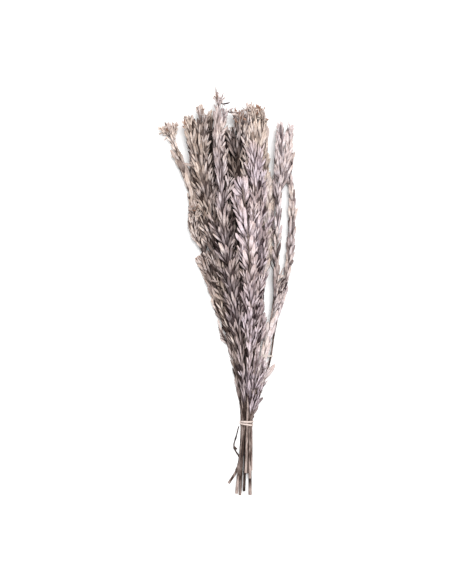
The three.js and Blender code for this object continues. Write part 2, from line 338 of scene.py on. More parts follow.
@dataclass(frozen=True)
class BarkFinish:
    """Thin dry bark: brown with pale lengthwise streaks and fine cracks."""

    name: str = "bark"
    dark: tuple = linear(36, 25, 22)
    middle: tuple = linear(86, 70, 63)
    light: tuple = linear(192, 175, 168)
    cracks: Stops = ((0.4, linear(126, 106, 99)), (0.6, WHITE))

    def material(self) -> Material:
        """Make the material.

        Returns:
            The new material.
        """
        sheet = NodeSheet(self.name)
        pale, _, _ = sheet.shade()
        streak = sheet.noise(sheet.object_place((900, 36, 900)), detail=6, rough=0.65)
        patch = sheet.noise(sheet.object_place((260, 55, 260)), detail=4)
        place = sheet.sum("ADD", sheet.sum("MULTIPLY", streak, 0.7), sheet.sum("MULTIPLY", patch, 0.6))
        place = sheet.sum("ADD", place, sheet.sum("MULTIPLY", sheet.sum("SUBTRACT", pale, 0.5), 0.36))
        colour = sheet.ramp(place, ((0.54, self.dark), (0.66, self.middle), (0.83, self.light)))
        crack = sheet.noise(sheet.object_place((2600, 90, 2600)), detail=5, rough=0.7)
        colour = sheet.tint(colour, 0.75, crack, self.cracks)
        sheet.dress(colour, 0.85, gloss=0.15)
        sheet.bump(sheet.sum("ADD", streak, crack), 0.0004, 0.8)
        return sheet.material


@dataclass(frozen=True)
class CutWoodFinish:
    """The cut end of a stem: greyish wood round a darker pith."""

    name: str = "cut_wood"
    pith: tuple = linear(98, 80, 77)
    wood: tuple = linear(164, 141, 138)
    rim: tuple = linear(88, 70, 67)
    fibres: Stops = ((0.3, linear(190, 180, 176)), (0.6, WHITE))

    def material(self) -> Material:
        """Make the material.

        Returns:
            The new material.
        """
        sheet = NodeSheet(self.name)
        _, _, across = sheet.shade()
        rings = ((0.0, self.pith), (0.3, self.wood), (0.82, self.wood), (1.0, self.rim))
        grain = sheet.noise(sheet.object_place((1500, 1500, 1500)), detail=4)
        colour = sheet.tint(sheet.ramp(across, rings), 0.6, grain, self.fibres)
        sheet.dress(colour, 0.9)
        sheet.bump(grain, 0.0003, 0.8)
        return sheet.material


@dataclass(frozen=True)
class BudFinish:
    """A dry flower bud: warm tan with a browner tip."""

    name: str = "bud"
    root: tuple = linear(150, 126, 113)
    middle: tuple = linear(168, 138, 120)
    tip: tuple = linear(136, 94, 74)
    flecks: Stops = ((0.35, linear(176, 156, 142)), (0.6, WHITE))

    def material(self) -> Material:
        """Make the material.

        Returns:
            The new material.
        """
        sheet = NodeSheet(self.name)
        _, along, _ = sheet.shade()
        colour = sheet.ramp(along, ((0.0, self.root), (0.55, self.middle), (1.0, self.tip)))
        fleck = sheet.noise(sheet.object_place((1300, 1300, 1300)), detail=4)
        colour = sheet.tint(colour, 0.6, fleck, self.flecks)
        sheet.dress(colour, 0.75)
        sheet.bump(fleck, 0.0002, 0.7)
        return sheet.material


@dataclass(frozen=True)
class RaffiaFinish:
    """Cream raffia: fine fibres along the band, with a few darker ones."""

    slot: str = "tie"
    dark: tuple = linear(164, 142, 134)
    light: tuple = linear(212, 196, 188)
    fibres: tuple[float, float] = (22.0, 9.0)  # how fine the fibres are across and along it

    def material(self) -> Material:
        """Make the material.

        Returns:
            The new material.
        """
        sheet = NodeSheet(self.slot)
        _, along, across = sheet.shade()
        fibres = sheet.nodes.new("ShaderNodeCombineXYZ")
        for axis, value, scale in zip("XY", (across, along), self.fibres):
            sheet.join(sheet.sum("MULTIPLY", value, scale), fibres.inputs[axis])
        grain = sheet.noise(fibres.outputs["Vector"], detail=5, rough=0.6)
        sheet.dress(sheet.ramp(grain, ((0.32, self.dark), (0.56, self.light))), 0.6, gloss=0.35)
        sheet.bump(grain, 0.0003, 0.8)
        return sheet.material


@dataclass(frozen=True)
class ThreadFinish:
    """Fine twisted cotton thread, with painted shade in the grooves between its strands."""

    slot: str = "thread"
    twist: float = 900.0  # how fast the strands wind along it
    strands: float = 12.566  # two strands, as two waves round it
    # Painted shade in the grooves between the two strands.
    groove_shade: tuple = linear(186, 172, 162)
    colour: tuple = linear(226, 216, 208)

    def material(self) -> Material:
        """Make the material.

        Returns:
            The new material.
        """
        sheet = NodeSheet(self.slot)
        _, along, across = sheet.shade()
        turns = sheet.sum("MULTIPLY", across, self.strands)
        turns = sheet.sum("ADD", sheet.sum("MULTIPLY", along, self.twist), turns)
        twist = sheet.sum("MULTIPLY", sheet.sum("ADD", sheet.sum("SINE", turns, 0.0), 1.0), 0.5)
        sheet.dress(sheet.ramp(twist, ((0.0, self.groove_shade), (0.5, self.colour))), 0.85)
        sheet.bump(twist, 0.0001, 0.6)
        return sheet.material


@dataclass(frozen=True)
class TableFinish:
    """A smooth near-white table top with a barely visible grain."""

    name: str = "table"
    dark: tuple = (0.92, 0.92, 0.92, 1.0)
    light: tuple = (0.94, 0.94, 0.94, 1.0)

    def material(self) -> Material:
        """Make the material.

        Returns:
            The new material.
        """
        sheet = NodeSheet(self.name)
        grain = sheet.noise(sheet.object_place((60, 60, 60)), detail=3)
        sheet.dress(sheet.ramp(grain, ((0.3, self.dark), (0.7, self.light))), 0.9)
        return sheet.material


class Tone(Enum):
    """The leaf colourings in the bunch. One is a darker copy of the tan one, painted shade for the stems
    deep in the bunch.
    """

    TAN = LeafFinish("leaf_tan", linear(64, 52, 48), linear(170, 157, 150), linear(238, 228, 221))
    # A darker copy of TAN: painted shade for the stems deep in the bunch.
    TAN_SHADED = LeafFinish("leaf_brown", linear(48, 38, 35), linear(134, 122, 117), linear(214, 204, 199))
    PALE = LeafFinish("leaf_pale", linear(74, 63, 64), linear(187, 175, 175), linear(234, 225, 223))
    ROSE = LeafFinish("leaf_rose", linear(62, 49, 53), linear(178, 165, 170), linear(232, 221, 225))


# ---------------------------------------------------------------------------- meshes


class Pile:
    """The faces of one piece while it is being made."""

    def __init__(self) -> None:
        """Start with nothing."""
        self.corners: list[np.ndarray] = []
        self.shades: list[np.ndarray] = []
        self.faces: list[tuple[int, ...]] = []
        self.slots: list[int] = []
        self.count = 0

    def add(
        self, corners: np.ndarray, shades: np.ndarray, faces: Iterable[Sequence[int]], slot: int = 0
    ) -> None:
        """Add a form.

        Args:
            corners: Its points, in metres.
            shades: Its own values at each point, as SHADE says.
            faces: Its faces, as numbers of its points.
            slot: Which of the piece's materials it has.
        """
        start = self.count
        for face in faces:
            self.faces.append(tuple(start + corner for corner in face))
            self.slots.append(slot)
        self.corners.append(corners)
        self.shades.append(shades)
        self.count += len(corners)

    def paint_cover_shade(self, air: Air, strength: float = 0.5, slit_shade: float = 0.15) -> None:
        """Paint shade on the leaves that lie deep in the bunch, under other leaves and in the slits.

        Args:
            air: The space that the bunch fills.
            strength: How much painted shade darkens a leaf that is wholly covered.
            slit_shade: How much painted shade darkens a point that lies in a slit between two stems.
        """
        for corners, shades in zip(self.corners, self.shades):
            # Painted shade: darker by the share of the leaf's points that have leaves above them.
            shades[:, 0] -= strength * air.cover(corners)
            # Painted shade on the points that lie in a slit between two stems.
            for slit in SLITS:
                shades[slit.holds(corners), 0] -= slit_shade

    def piece(self, name: str, materials: Sequence[Material], crease: float = 50) -> bpy.types.Object:
        """Make the object.

        Args:
            name: Its name.
            materials: Its materials, in the order of their slots.
            crease: The angle in degrees from which an edge stays sharp.

        Returns:
            The new object, in the scene.
        """
        mesh = bpy.data.meshes.new(name)
        mesh.from_pydata(np.concatenate(self.corners).tolist(), [], self.faces)
        for material in materials:
            mesh.materials.append(material)
        mesh.polygons.foreach_set("material_index", self.slots)
        shade = np.ones((self.count, 4))
        shade[:, :3] = np.concatenate(self.shades)
        attribute = mesh.color_attributes.new(SHADE, "FLOAT_COLOR", "POINT")
        attribute.data.foreach_set("color", shade.ravel())
        mesh.shade_smooth()
        mesh.set_sharp_from_angle(angle=math.radians(crease))
        mesh.update()
        obj = bpy.data.objects.new(name, mesh)
        bpy.context.scene.collection.objects.link(obj)
        return obj


class Route:
    """A smooth line through some points, with a frame at each place along it."""

    def __init__(self, points: Sequence[Sequence[float]], steps: int = 16, stretch: float = 1 * MM) -> None:
        """Lay the line: a centripetal curve that is bent as in the solid model.

        Args:
            points: The points that it passes, in metres.
            steps: How many stretches there are from one point to the next.
            stretch: How far apart the places are that it keeps.
        """
        knots = [np.array(point, dtype=float) for point in points]
        knots = [2 * knots[0] - knots[1], *knots, 2 * knots[-1] - knots[-2]]
        fine = [knots[1]]
        for before, start, end, after in zip(knots, knots[1:], knots[2:], knots[3:]):
            pairs = ((before, start), (start, end), (end, after))
            one, two, three = (np.linalg.norm(b - a) ** 0.5 for a, b in pairs)
            leave = (start - before) / one - (end - before) / (one + two) + (end - start) / two
            arrive = (end - start) / two - (after - start) / (two + three) + (after - end) / three
            leave, arrive = leave * two, arrive * two
            for step in range(1, steps + 1):
                t = step / steps
                fine.append(
                    (2 * t**3 - 3 * t**2 + 1) * start
                    + (t**3 - 2 * t**2 + t) * leave
                    + (3 * t**2 - 2 * t**3) * end
                    + (t**3 - t**2) * arrive
                )
        reach = np.linalg.norm(np.diff(fine, axis=0), axis=1)
        travelled = np.concatenate(([0.0], np.cumsum(reach)))
        self.length = float(travelled[-1])
        self.last = max(8, round(self.length / stretch))
        even = np.linspace(0, self.length, self.last + 1)
        self.places = np.stack([np.interp(even, travelled, side) for side in np.array(fine).T], axis=1)
        headings = np.gradient(self.places, axis=0)
        headings /= np.linalg.norm(headings, axis=1)[:, None]
        above = [UP]
        for heading in headings:
            above.append(unit(above[-1] - heading * heading.dot(above[-1])))
        aside = np.cross(headings, above[1:])
        self.frames = np.stack((self.places, headings, np.array(above[1:]), aside), axis=1)

    def at(self, share: float) -> np.ndarray:
        """Find a place by its share of the length.

        Args:
            share: From 0 at the start to 1 at the end.

        Returns:
            Four rows: the point, the line's direction there, the way up from it and the way aside.
        """
        place = min(max(share, 0.0), 1.0) * self.last
        before = min(int(place), self.last - 1)
        return self.frames[before] + (self.frames[before + 1] - self.frames[before]) * (place - before)

    def share_at_y(self, y: float) -> float:
        """Return the share of the length at which the line passes a place along Y."""
        return float(np.interp(y, self.places[:, 1], np.arange(self.last + 1))) / self.last

    def frame(self, share: float, azimuth: float) -> tuple[np.ndarray, np.ndarray, np.ndarray, np.ndarray]:
        """Find the frame of something that stands out from the line.

        Args:
            share: Its place along the line.
            azimuth: Its place round the line in radians: 0 is up, and a quarter turn is to the right.

        Returns:
            The point, the line's direction, the direction outwards and the direction across.
        """
        point, heading, above, aside = self.at(share)
        cos, sin = math.cos(azimuth), math.sin(azimuth)
        return point, heading, above * cos + aside * sin, aside * cos - above * sin


@dataclass
class Rod:
    """A tapering round rod along a route, such as a stem or a twig.

    knots are where it is thicker, in metres from its start, and knot_swell says how much. end_pale is
    how much paler it is at its start, and every is how far apart its rings are.
    """

    route: Route
    radius_at: Callable[[float], float]
    pale: float = 0.5
    sides: int = 10
    every: float = 4 * MM
    knots: Sequence[float] = ()
    knot_swell: float = 0.16
    knot_reach: float = 1.6 * MM
    end_pale: float = 0.0
    end_reach: float = 28 * MM
    uneven: float = 0.035
    floor: float = 0.05 * MM

    def add_to(self, pile: Pile, bark: int = 0, cut: int | None = None) -> None:
        """Add the rod's faces to a piece.

        Args:
            pile: The piece.
            bark: The slot of the rod's side.
            cut: The slot of its cut end, if that shows.
        """
        rings = max(4, round(self.route.length / self.every))
        corners, shades = [], []
        for ring in range(rings + 1):
            share = ring / rings
            point, _, above, aside = self.route.frame(share, 0.0)
            travelled = share * self.route.length
            swell = sum(math.exp(-(((travelled - knot) / self.knot_reach) ** 2)) for knot in self.knots)
            radius = self.radius_at(share) * (1 + self.knot_swell * swell)
            pale = self.pale + self.end_pale * max(0.0, 1 - travelled / self.end_reach)
            for side in range(self.sides):
                turn = math.tau * side / self.sides
                spoke = above * math.cos(turn) + aside * math.sin(turn)
                uneven = 1 + self.uneven * math.sin(3 * turn + 40 * share)
                corners.append(point + radius * uneven * spoke)
                shades.append((pale, share, side / self.sides))
        last = rings * self.sides
        faces = [*tube_faces(rings + 1, self.sides), tuple(range(last, last + self.sides))]
        points = np.array(corners)
        points[:, 2] = np.maximum(points[:, 2], self.floor)
        pile.add(points, np.array(shades), faces, bark)
        self.add_cut_end(pile, points[: self.sides], bark if cut is None else cut)

    def add_cut_end(self, pile: Pile, rim: np.ndarray, slot: int) -> None:
        """Close the rod's start with a slightly hollow disc.

        Args:
            pile: The piece.
            rim: The rod's first ring.
            slot: The disc's slot.
        """
        middle = rim.mean(axis=0)
        heading = self.route.at(0.0)[1]
        ring_size, ring_depth, middle_depth = 0.35, 0.15, 0.3
        inner = middle + (rim - middle) * ring_size + heading * ring_depth * MM
        corners = np.concatenate((rim, inner, [middle + heading * middle_depth * MM]))
        values = [(0.5, 0.0, 1.0)] * self.sides + [(0.5, 0.0, 0.3)] * self.sides + [(0.5, 0.0, 0.0)]
        faces = []
        for side in range(self.sides):
            after = (side + 1) % self.sides
            faces.append((side, self.sides + side, self.sides + after, after))
            faces.append((self.sides + side, 2 * self.sides, self.sides + after))
        pile.add(corners, np.array(values), faces, slot)


class Air:
    """The space round the bunch as small cubes, and which of them are filled so far."""

    def __init__(
        self, cube: float = 1.6 * MM, low: Point = (-0.15, -0.12, 0.0), high: Point = (0.1, 0.52, 0.08)
    ) -> None:
        """Start empty.

        Args:
            cube: The length of a cube's side.
            low: The space's lowest corner.
            high: Its highest corner.
        """
        self.cube = cube
        self.low = np.array(low)
        self.filled = np.zeros(np.ceil((np.array(high) - self.low) / cube).astype(int), dtype=bool)
        self.tops = np.zeros(self.filled.shape[:2], dtype=int)

    def places(self, points: np.ndarray) -> tuple[np.ndarray, ...]:
        """Return the cube that each point lies in, as its three places."""
        places = np.floor((points - self.low) / self.cube).astype(int)
        return tuple(np.clip(places, 0, np.array(self.filled.shape) - 1).T)

    def clash(self, points: np.ndarray) -> float:
        """Return the share of some points whose cube is filled already."""
        return float(self.filled[self.places(points)].mean())

    def fill(self, points: np.ndarray) -> None:
        """Fill the cubes that some points lie in."""
        self.filled[self.places(points)] = True

    def settle(self) -> None:
        """Find how high the bunch stands over each place of the table, once it is all there."""
        self.tops = (self.filled * np.arange(self.filled.shape[2])).max(axis=2)

    def cover(self, points: np.ndarray, above: int = 2) -> float:
        """Return the share of a form's points with something more than some cubes above them."""
        x, y, z = self.places(points)
        return float((self.tops[x, y] > z + above).mean())


# ---------------------------------------------------------------------------- leaves


@dataclass(frozen=True)
class Leaf:
    """One leaf as it grows from its stem.

    Lengths are in metres and angles in radians. opening is how far it stands from its stem, and curl
    how much it bends back on its way. cup is how hollow it is, and facing how far its face turns up.
    roll turns it about its length, wave ripples its edge, and bend swings its tip aside. blunt is how
    full its tip is.
    """

    length: float
    width: float
    opening: float
    curl: float
    cup: float
    facing: float
    roll: float
    wave: float
    pale: float
    bend: float = 0.0
    blunt: float = 3.2
    thickness: float = 0.3 * MM
    # root_tone says how much of the painted root shade a leaf keeps: 0 keeps it all.
    root_tone: float = 0.0  # the place along the finish at its root: 0 is dark there

    STATIONS = np.array((0.05, 0.16, 0.3, 0.45, 0.6, 0.74, 0.86, 0.95))  # its rings, along it
    TOP = np.array((-1.0, -0.52, 0.0, 0.52, 1.0))  # a ring's points on the face, across it
    UNDER = np.array((0.52, 0.0, -0.52))  # and on the back
    RING = 8  # how many points that makes
    BODY = 17  # its first point past the root and two rings
    MIDRIB = 0.1 * MM
    AT_ROOT = 1.3  # its opening there, as a share of opening
    FACES_UP_FROM = 0.25  # the place along it from which its face is turned up in full

    def outline(self, along: np.ndarray) -> np.ndarray:
        """Return the share of the full width at some places: a long oval."""
        share = along**0.75 * np.maximum(0.0, 1 - along**self.blunt) ** 0.66
        return share / share.max()

    def corners(self, root: np.ndarray, heading: np.ndarray, outward: np.ndarray) -> np.ndarray:
        """Bend the leaf onto its stem. The blade turns its face up as far as facing says.

        Args:
            root: Where it grows from.
            heading: The stem's direction.
            outward: The direction from the stem on the leaf's side.

        Returns:
            Its points: the root, eight rings of eight, and the tip.
        """
        along = np.concatenate(([0.0], self.STATIONS, [1.0]))
        open_at = self.opening * (self.AT_ROOT - self.curl * along)
        ways = np.cos(open_at)[:, None] * heading + np.sin(open_at)[:, None] * outward
        steps = (ways[1:] + ways[:-1]) / 2 * np.diff(along)[:, None] * self.length
        spine = root + np.concatenate((np.zeros((1, 3)), np.cumsum(steps, axis=0)))
        facing = (self.facing * np.minimum(1.0, along / self.FACES_UP_FROM))[:, None]
        faces = np.cos(open_at)[:, None] * outward - np.sin(open_at)[:, None] * heading
        faces = faces * (1 - facing) + UP * facing
        faces = faces - ways * np.sum(faces * ways, axis=1)[:, None]
        faces /= np.linalg.norm(faces, axis=1)[:, None]
        sides = np.cross(ways, faces)
        turn = self.roll * (0.25 + 0.75 * along[:, None])
        cos, sin = np.cos(turn), np.sin(turn)
        sides, faces = cos * sides + sin * faces, cos * faces - sin * sides
        spine = spine + sides * (self.bend * self.length * along**2)[:, None]
        half = self.outline(along) * self.width / 2
        loops = []
        for columns, skin in ((self.TOP, 0.5), (self.UNDER, -0.5)):
            reach = half[:, None] * columns
            ripple = self.wave * np.sin(9 * along + 1.5)[:, None] * columns**2 * half[:, None]
            ridge = (self.MIDRIB if skin > 0 else 0.0) * (columns == 0)
            lift = ripple - self.cup * half[:, None] * columns**2
            lift = lift + skin * self.thickness * (1 - columns**2) + ridge
            aside = reach[:, :, None] * sides[:, None]
            loops.append(spine[:, None] + aside + lift[:, :, None] * faces[:, None])
        rings = np.concatenate(loops, axis=1)[1:-1]
        return np.concatenate((spine[:1], rings.reshape(-1, 3), spine[-1:]))

    def shades(self) -> np.ndarray:
        """Give the leaf's own values, as SHADE says.

        Returns:
            The three values of each of its points.
        """
        along = np.concatenate(([0.0], np.repeat(self.STATIONS, self.RING), [1.0]))
        along = self.root_tone + (1 - self.root_tone) * along
        across = np.tile(np.abs(np.concatenate((self.TOP, self.UNDER))), len(self.STATIONS))
        across = np.concatenate(([0.0], across, [0.0]))
        return np.stack((np.full(len(along), self.pale), along, across), axis=1)

    @classmethod
    def faces(cls) -> list[tuple[int, ...]]:
        """Give the faces, which are the same in every leaf.

        Returns:
            The faces, as numbers of its points.
        """
        width, rings = cls.RING, len(cls.STATIONS)
        last = 1 + rings * width
        faces: list[tuple[int, ...]] = []
        for side in range(width):
            after = (side + 1) % width
            faces.append((0, 1 + after, 1 + side))
            for ring in range(rings - 1):
                start = 1 + ring * width
                faces.append((start + side, start + after, start + width + after, start + width + side))
            start = last - width
            faces.append((start + side, start + after, last))
        return faces


LEAF_FACES = Leaf.faces()


@dataclass(frozen=True)
class Strip:
    """A patch of the table, seen from above: rows of Y, left edge and right edge, in millimetres."""

    rows: tuple[tuple[float, float, float], ...]

    @cached_property
    def edges(self) -> np.ndarray:
        """The rows as Y, left edges and right edges, in metres."""
        return np.array(self.rows).T * MM

    def holds(self, points: np.ndarray) -> np.ndarray:
        """Say which points stand over the patch.

        Args:
            points: Points in metres.

        Returns:
            True for each point over it.
        """
        y, left, right = self.edges
        x, place = points[:, 0], points[:, 1]
        inside = (x > np.interp(place, y, left)) & (x < np.interp(place, y, right))
        return inside & (place >= y[0]) & (place <= y[-1])


# How far the leaves reach, and the gaps between the stems that stay open.
REACH = Strip((
    (-5, -16, 17), (15, -11, 18), (41, -15, 26), (67, -19, 33), (94, -26, 39), (120, -40, 41),
    (147, -43, 44), (182, -54, 57), (205, -60, 63), (223, -69, 64), (235, -76, 68), (245, -77, 70),
    (252, -66, 71), (257, -68, 72), (266, -76, 72), (275, -84, 72), (290, -88, 73), (305, -87, 75),
    (325, -86, 75), (345, -90, 71), (360, -93, 69), (386, -106, 68), (391, -113, 71), (404, -116, 72),
    (410, -120, 68), (430, -134, 68), (438, -134, 69), (444, -120, 66), (447, -97, 29), (453, -91, 27),
    (458, -85, 25), (465, -76, 19), (470, -69, 14), (475, -53, 10), (477, -53, -20), (485, -53, -20),
    (488, -53, -27), (498, -53, -27),
))
CLEARINGS = (
    Strip(((141, 35, 36.5), (160, 27.5, 37.5), (182, 25.5, 38.5), (206, 27.5, 38.5), (226, 33, 36.5))),
    Strip(((234, 46, 54), (253, 49.5, 57), (285, 52.5, 59.5), (328, 52, 61), (352, 53.5, 60.5))),
    Strip(((360, 36, 38.5), (395, 34, 40), (431, 34, 41.5), (440, 31, 43), (450, 27, 46), (470, 24, 50))),
    Strip(((436, -29, -20), (449, -29, -19))),
    Strip(((455, -61, -58), (458, -62, -56), (464, -64, -51), (476, -66, -51))),
    Strip(((378, -87, -84.5), (387, -92, -85.5), (402, -97, -90), (440, -101, -95))),
    Strip(((428, 55.5, 56.5), (437, 54.5, 58), (448, 52.8, 60))),
)
# Narrow gaps between two stems, where only low leaves stand and painted shade darkens them.
SLITS = (
    Strip(((300, -51, -46), (368, -55, -47), (372, -58, -50), (433, -58, -51), (447, -56, -52))),
    Strip(((362, -27, -20), (395, -28, -20), (402, -23, -16), (436, -23, -15))),
)
SLIT_DEPTH = 29 * MM


def out_of_reach(points: np.ndarray) -> float:
    """Say how far a form stands where the bunch has nothing.

    Args:
        points: The form's points, in metres.

    Returns:
        The share of them that is beyond the bunch's reach, in a clearing or high in a slit.
    """
    wrong = ~REACH.holds(points)
    low, high = points[:, 1].min(), points[:, 1].max()
    for gap in (*CLEARINGS, *SLITS):
        if gap.edges[0, 0] < high and gap.edges[0, -1] > low:
            over = gap.holds(points)
            wrong |= over if gap in CLEARINGS else over & (points[:, 2] > SLIT_DEPTH)
    return float(wrong.mean())


def lay_on_table(points: np.ndarray, floor: float = 0.35 * MM) -> float:
    """Lift what would be under the table to just above it.

    Args:
        points: The points, which are changed.
        floor: The least height that they keep.

    Returns:
        The share of them that was too low.
    """
    sunk = points[:, 2] < floor
    points[sunk, 2] = floor + (points[sunk, 2] - floor) * 0.02
    return float(sunk.mean())


@dataclass(frozen=True)
class LeafHabit:
    """How leaves stand on the stems.

    length and width are a full leaf's, every is how far apart the leaves are, and turn is how far
    round the stem each stands from the one before; first_turn is the first one's place. wide_share of
    them open further, by wide_opening, and dark_share are dark. The low values are what leaves have
    at the stem's foot, as shares of what they reach at full_size_y, and tip_size is their size at its
    tip, which they near over tip_reach. whorls are the rings of leaves at a tip: how far back each
    stands in millimetres, how many leaves it has, how wide they open as a share of the tip's flare,
    and their size. sprig_whorls are those of small twigs, and the head values are for all of these
    leaves. tries are what a leaf may do to keep clear of others: its opening and length as shares, and
    its swing in degrees. The first that clashes less than clear is taken, or else the best, unless it
    clashes more than worst_clash.
    """

    length: float = 26 * MM
    width: float = 4.2 * MM
    every: float = 2.2 * MM
    turn: float = math.radians(137.5)
    turn_spread: float = 0.25
    first_turn: float = 0.0
    first_spread: float = math.pi
    opening: float = math.radians(17)
    facing: tuple[float, float] = (0.2, 0.85)
    roll: float = 1.0
    pale_spread: float = 0.2
    dark_share: float = 0.15
    wide_share: float = 0.12
    wide_opening: float = 1.9
    start: float = 29 * MM  # above the tie
    shoot_start: float = 6 * MM
    low_size: float = 0.78
    low_width: float = 0.64
    low_opening: float = 0.5
    low_every: float = 0.6
    full_size_y: float = 190 * MM
    tip_size: float = 0.75
    tip_reach: float = 40 * MM
    clear: float = 0.04
    worst_clash: float = 0.4
    head_pale: float = 0.22
    head_width: float = 0.75
    # head_root_tone lifts the head leaves' roots partly out of the painted root shade.
    head_root_tone: float = 0.2
    head_least_opening: float = 0.12
    head_radius: float = 0.6 * MM
    whorls: tuple = ((10, 6, 0.5, 0.8), (6, 6, 0.8, 0.7), (2.5, 6, 1.0, 0.62), (0.5, 4, 0.4, 0.6))
    sprig_whorls: tuple = ((2, 4, 0.8, 0.6),)
    tries: tuple = (
        (1.0, 1.0, 0), (0.7, 1.0, 0), (1.0, 1.0, 25), (1.0, 1.0, -25), (0.55, 0.95, 50), (0.55, 0.95, -50),
        (1.3, 0.9, 10), (0.3, 0.75, 0),
    )


# The front stem's larger leaves stand left and right of it like a plait, with their faces up.
PLAIT = LeafHabit(
    length=30 * MM, width=5.8 * MM, every=3.9 * MM, turn=math.pi, turn_spread=0.4, first_turn=math.pi / 2,
    first_spread=0.1, opening=math.radians(25), facing=(0.75, 1.0), roll=0.35, pale_spread=0.13,
    dark_share=0.08, whorls=((14, 2, 1.0, 0.95), (9, 3, 0.9, 0.8), (4, 3, 0.8, 0.6), (1, 2, 0.4, 0.5)),
)
# Some stretches have broad flat pale leaves that lie close along their stem.
SHEATH = LeafHabit(
    length=34 * MM, width=7.5 * MM, every=4.2 * MM, turn_spread=0.5, opening=math.radians(12),
    facing=(0.85, 1.0), roll=0.25, pale_spread=0.08, dark_share=0.03,
)
# The far right stem's leaves stand further out.
SPREADING = LeafHabit(opening=math.radians(30), every=1.8 * MM, facing=(0.4, 1.0))
# Where curled leaves crowd, there are few others.
SPARSE = LeafHabit(every=9 * MM, whorls=((6, 3, 0.8, 0.5), (1, 3, 0.5, 0.5)))

ROOT_DEPTH = 0.6  # where a leaf's root is, as a share of its stem's radius
LONE_LOOK = {"facing": 0.8, "roll": 0.2, "curl": 0.4, "root_tone": 0.3}
LONE_OPENING = math.radians(11)
LONE_WIDTH = 1.3
SPIKE_LOOK = {"facing": 0.8, "roll": 0.2, "curl": 0.5}
SPIKE_WIDTH = 0.7
SPIKE_PALE = 0.3

SHOOT_RADIUS = taper(1.05, 0.5)
SPRIG_RADIUS = taper(0.75, 0.35)
BARE_TWIG_RADIUS = taper(1.1, 0.3)
FLORET_RADIUS = taper(0.6, 0.2)


@dataclass(frozen=True)
class FloretHabit:
    """How florets grow: short stalks with curled leaves and buds. Ranges are drawn from evenly.

    back is how far from the tip a stalk starts and beyond how far past the tip it reaches, both in
    millimetres, and lean is its slant as a share of the tip's flare. first_leaf is the place of the
    first curled leaf along it, and leaves_over the share of it that they take up. Some curled leaves
    have the buds' colour.
    """

    back: tuple[float, float] = (5, 16)
    beyond: tuple[float, float] = (0, 7)
    lean: tuple[float, float] = (0.35, 0.8)
    shortest: float = 6 * MM
    leaves: int = 12
    first_leaf: float = 0.35
    leaves_over: float = 0.62
    leaf_size: float = 0.85
    leaf_pale: float = 0.42
    leaf_root: float = 0.4 * MM
    bud_coloured: float = 0.2
    most_buds: int = 3


FLORET = FloretHabit()


@dataclass(frozen=True)
class BudForm:
    """A bud's form: its size, its lean in radians and its outline as place along it and radius."""

    size: tuple[float, float] = (0.55, 0.85)
    lean: tuple[float, float] = (0.15, 0.7)
    sides: int = 8
    ridges: float = 0.12
    outline: tuple = ((0.0, 0.25), (1.4, 0.3), (2.0, 0.75), (3.2, 1.15), (4.4, 1.0), (5.2, 0.5), (5.5, 0.1))


BUD = BudForm()


@dataclass(frozen=True)
class Shoot:
    """A side shoot: where it leaves its stem and the points that it passes, in millimetres."""

    from_y: float
    route: tuple[Point, ...]
    flare: float
    pale: float = 0.0
    size: float = 1.0
    habit: LeafHabit | None = None


@dataclass(frozen=True)
class Bundle:
    """The stems' places in the tie, in millimetres: three rows, nested like stacked pipes."""

    spacing: float = 4.1
    row_start: tuple[float, ...] = (-7.55, -5.5, -3.45)
    tied_radius: float = 1.7
    tie_thickness: float = 1.1
    gap: float = 0.3

    def seat(self, row: int, place: int) -> Point:
        """Find where a stem stands in the tie.

        Args:
            row: Its row, counted from the table.
            place: Its place in that, counted from the left.

        Returns:
            Its middle there, in millimetres.
        """
        lowest = self.tie_thickness + self.gap + self.tied_radius
        height = lowest + row * self.spacing * math.cos(math.pi / 6)
        return (self.row_start[row] + place * self.spacing, 0.0, height)


BUNDLE = Bundle()


@dataclass
class Twig:
    """A stem, side shoot or sprig as something that carries leaves. start is where they begin."""

    route: Route
    radius_at: Callable[[float], float]
    start: float
    flare: float
    size: float = 1.0
    florets: int = 0
    pale: float = 0.0
    habit: LeafHabit | None = None


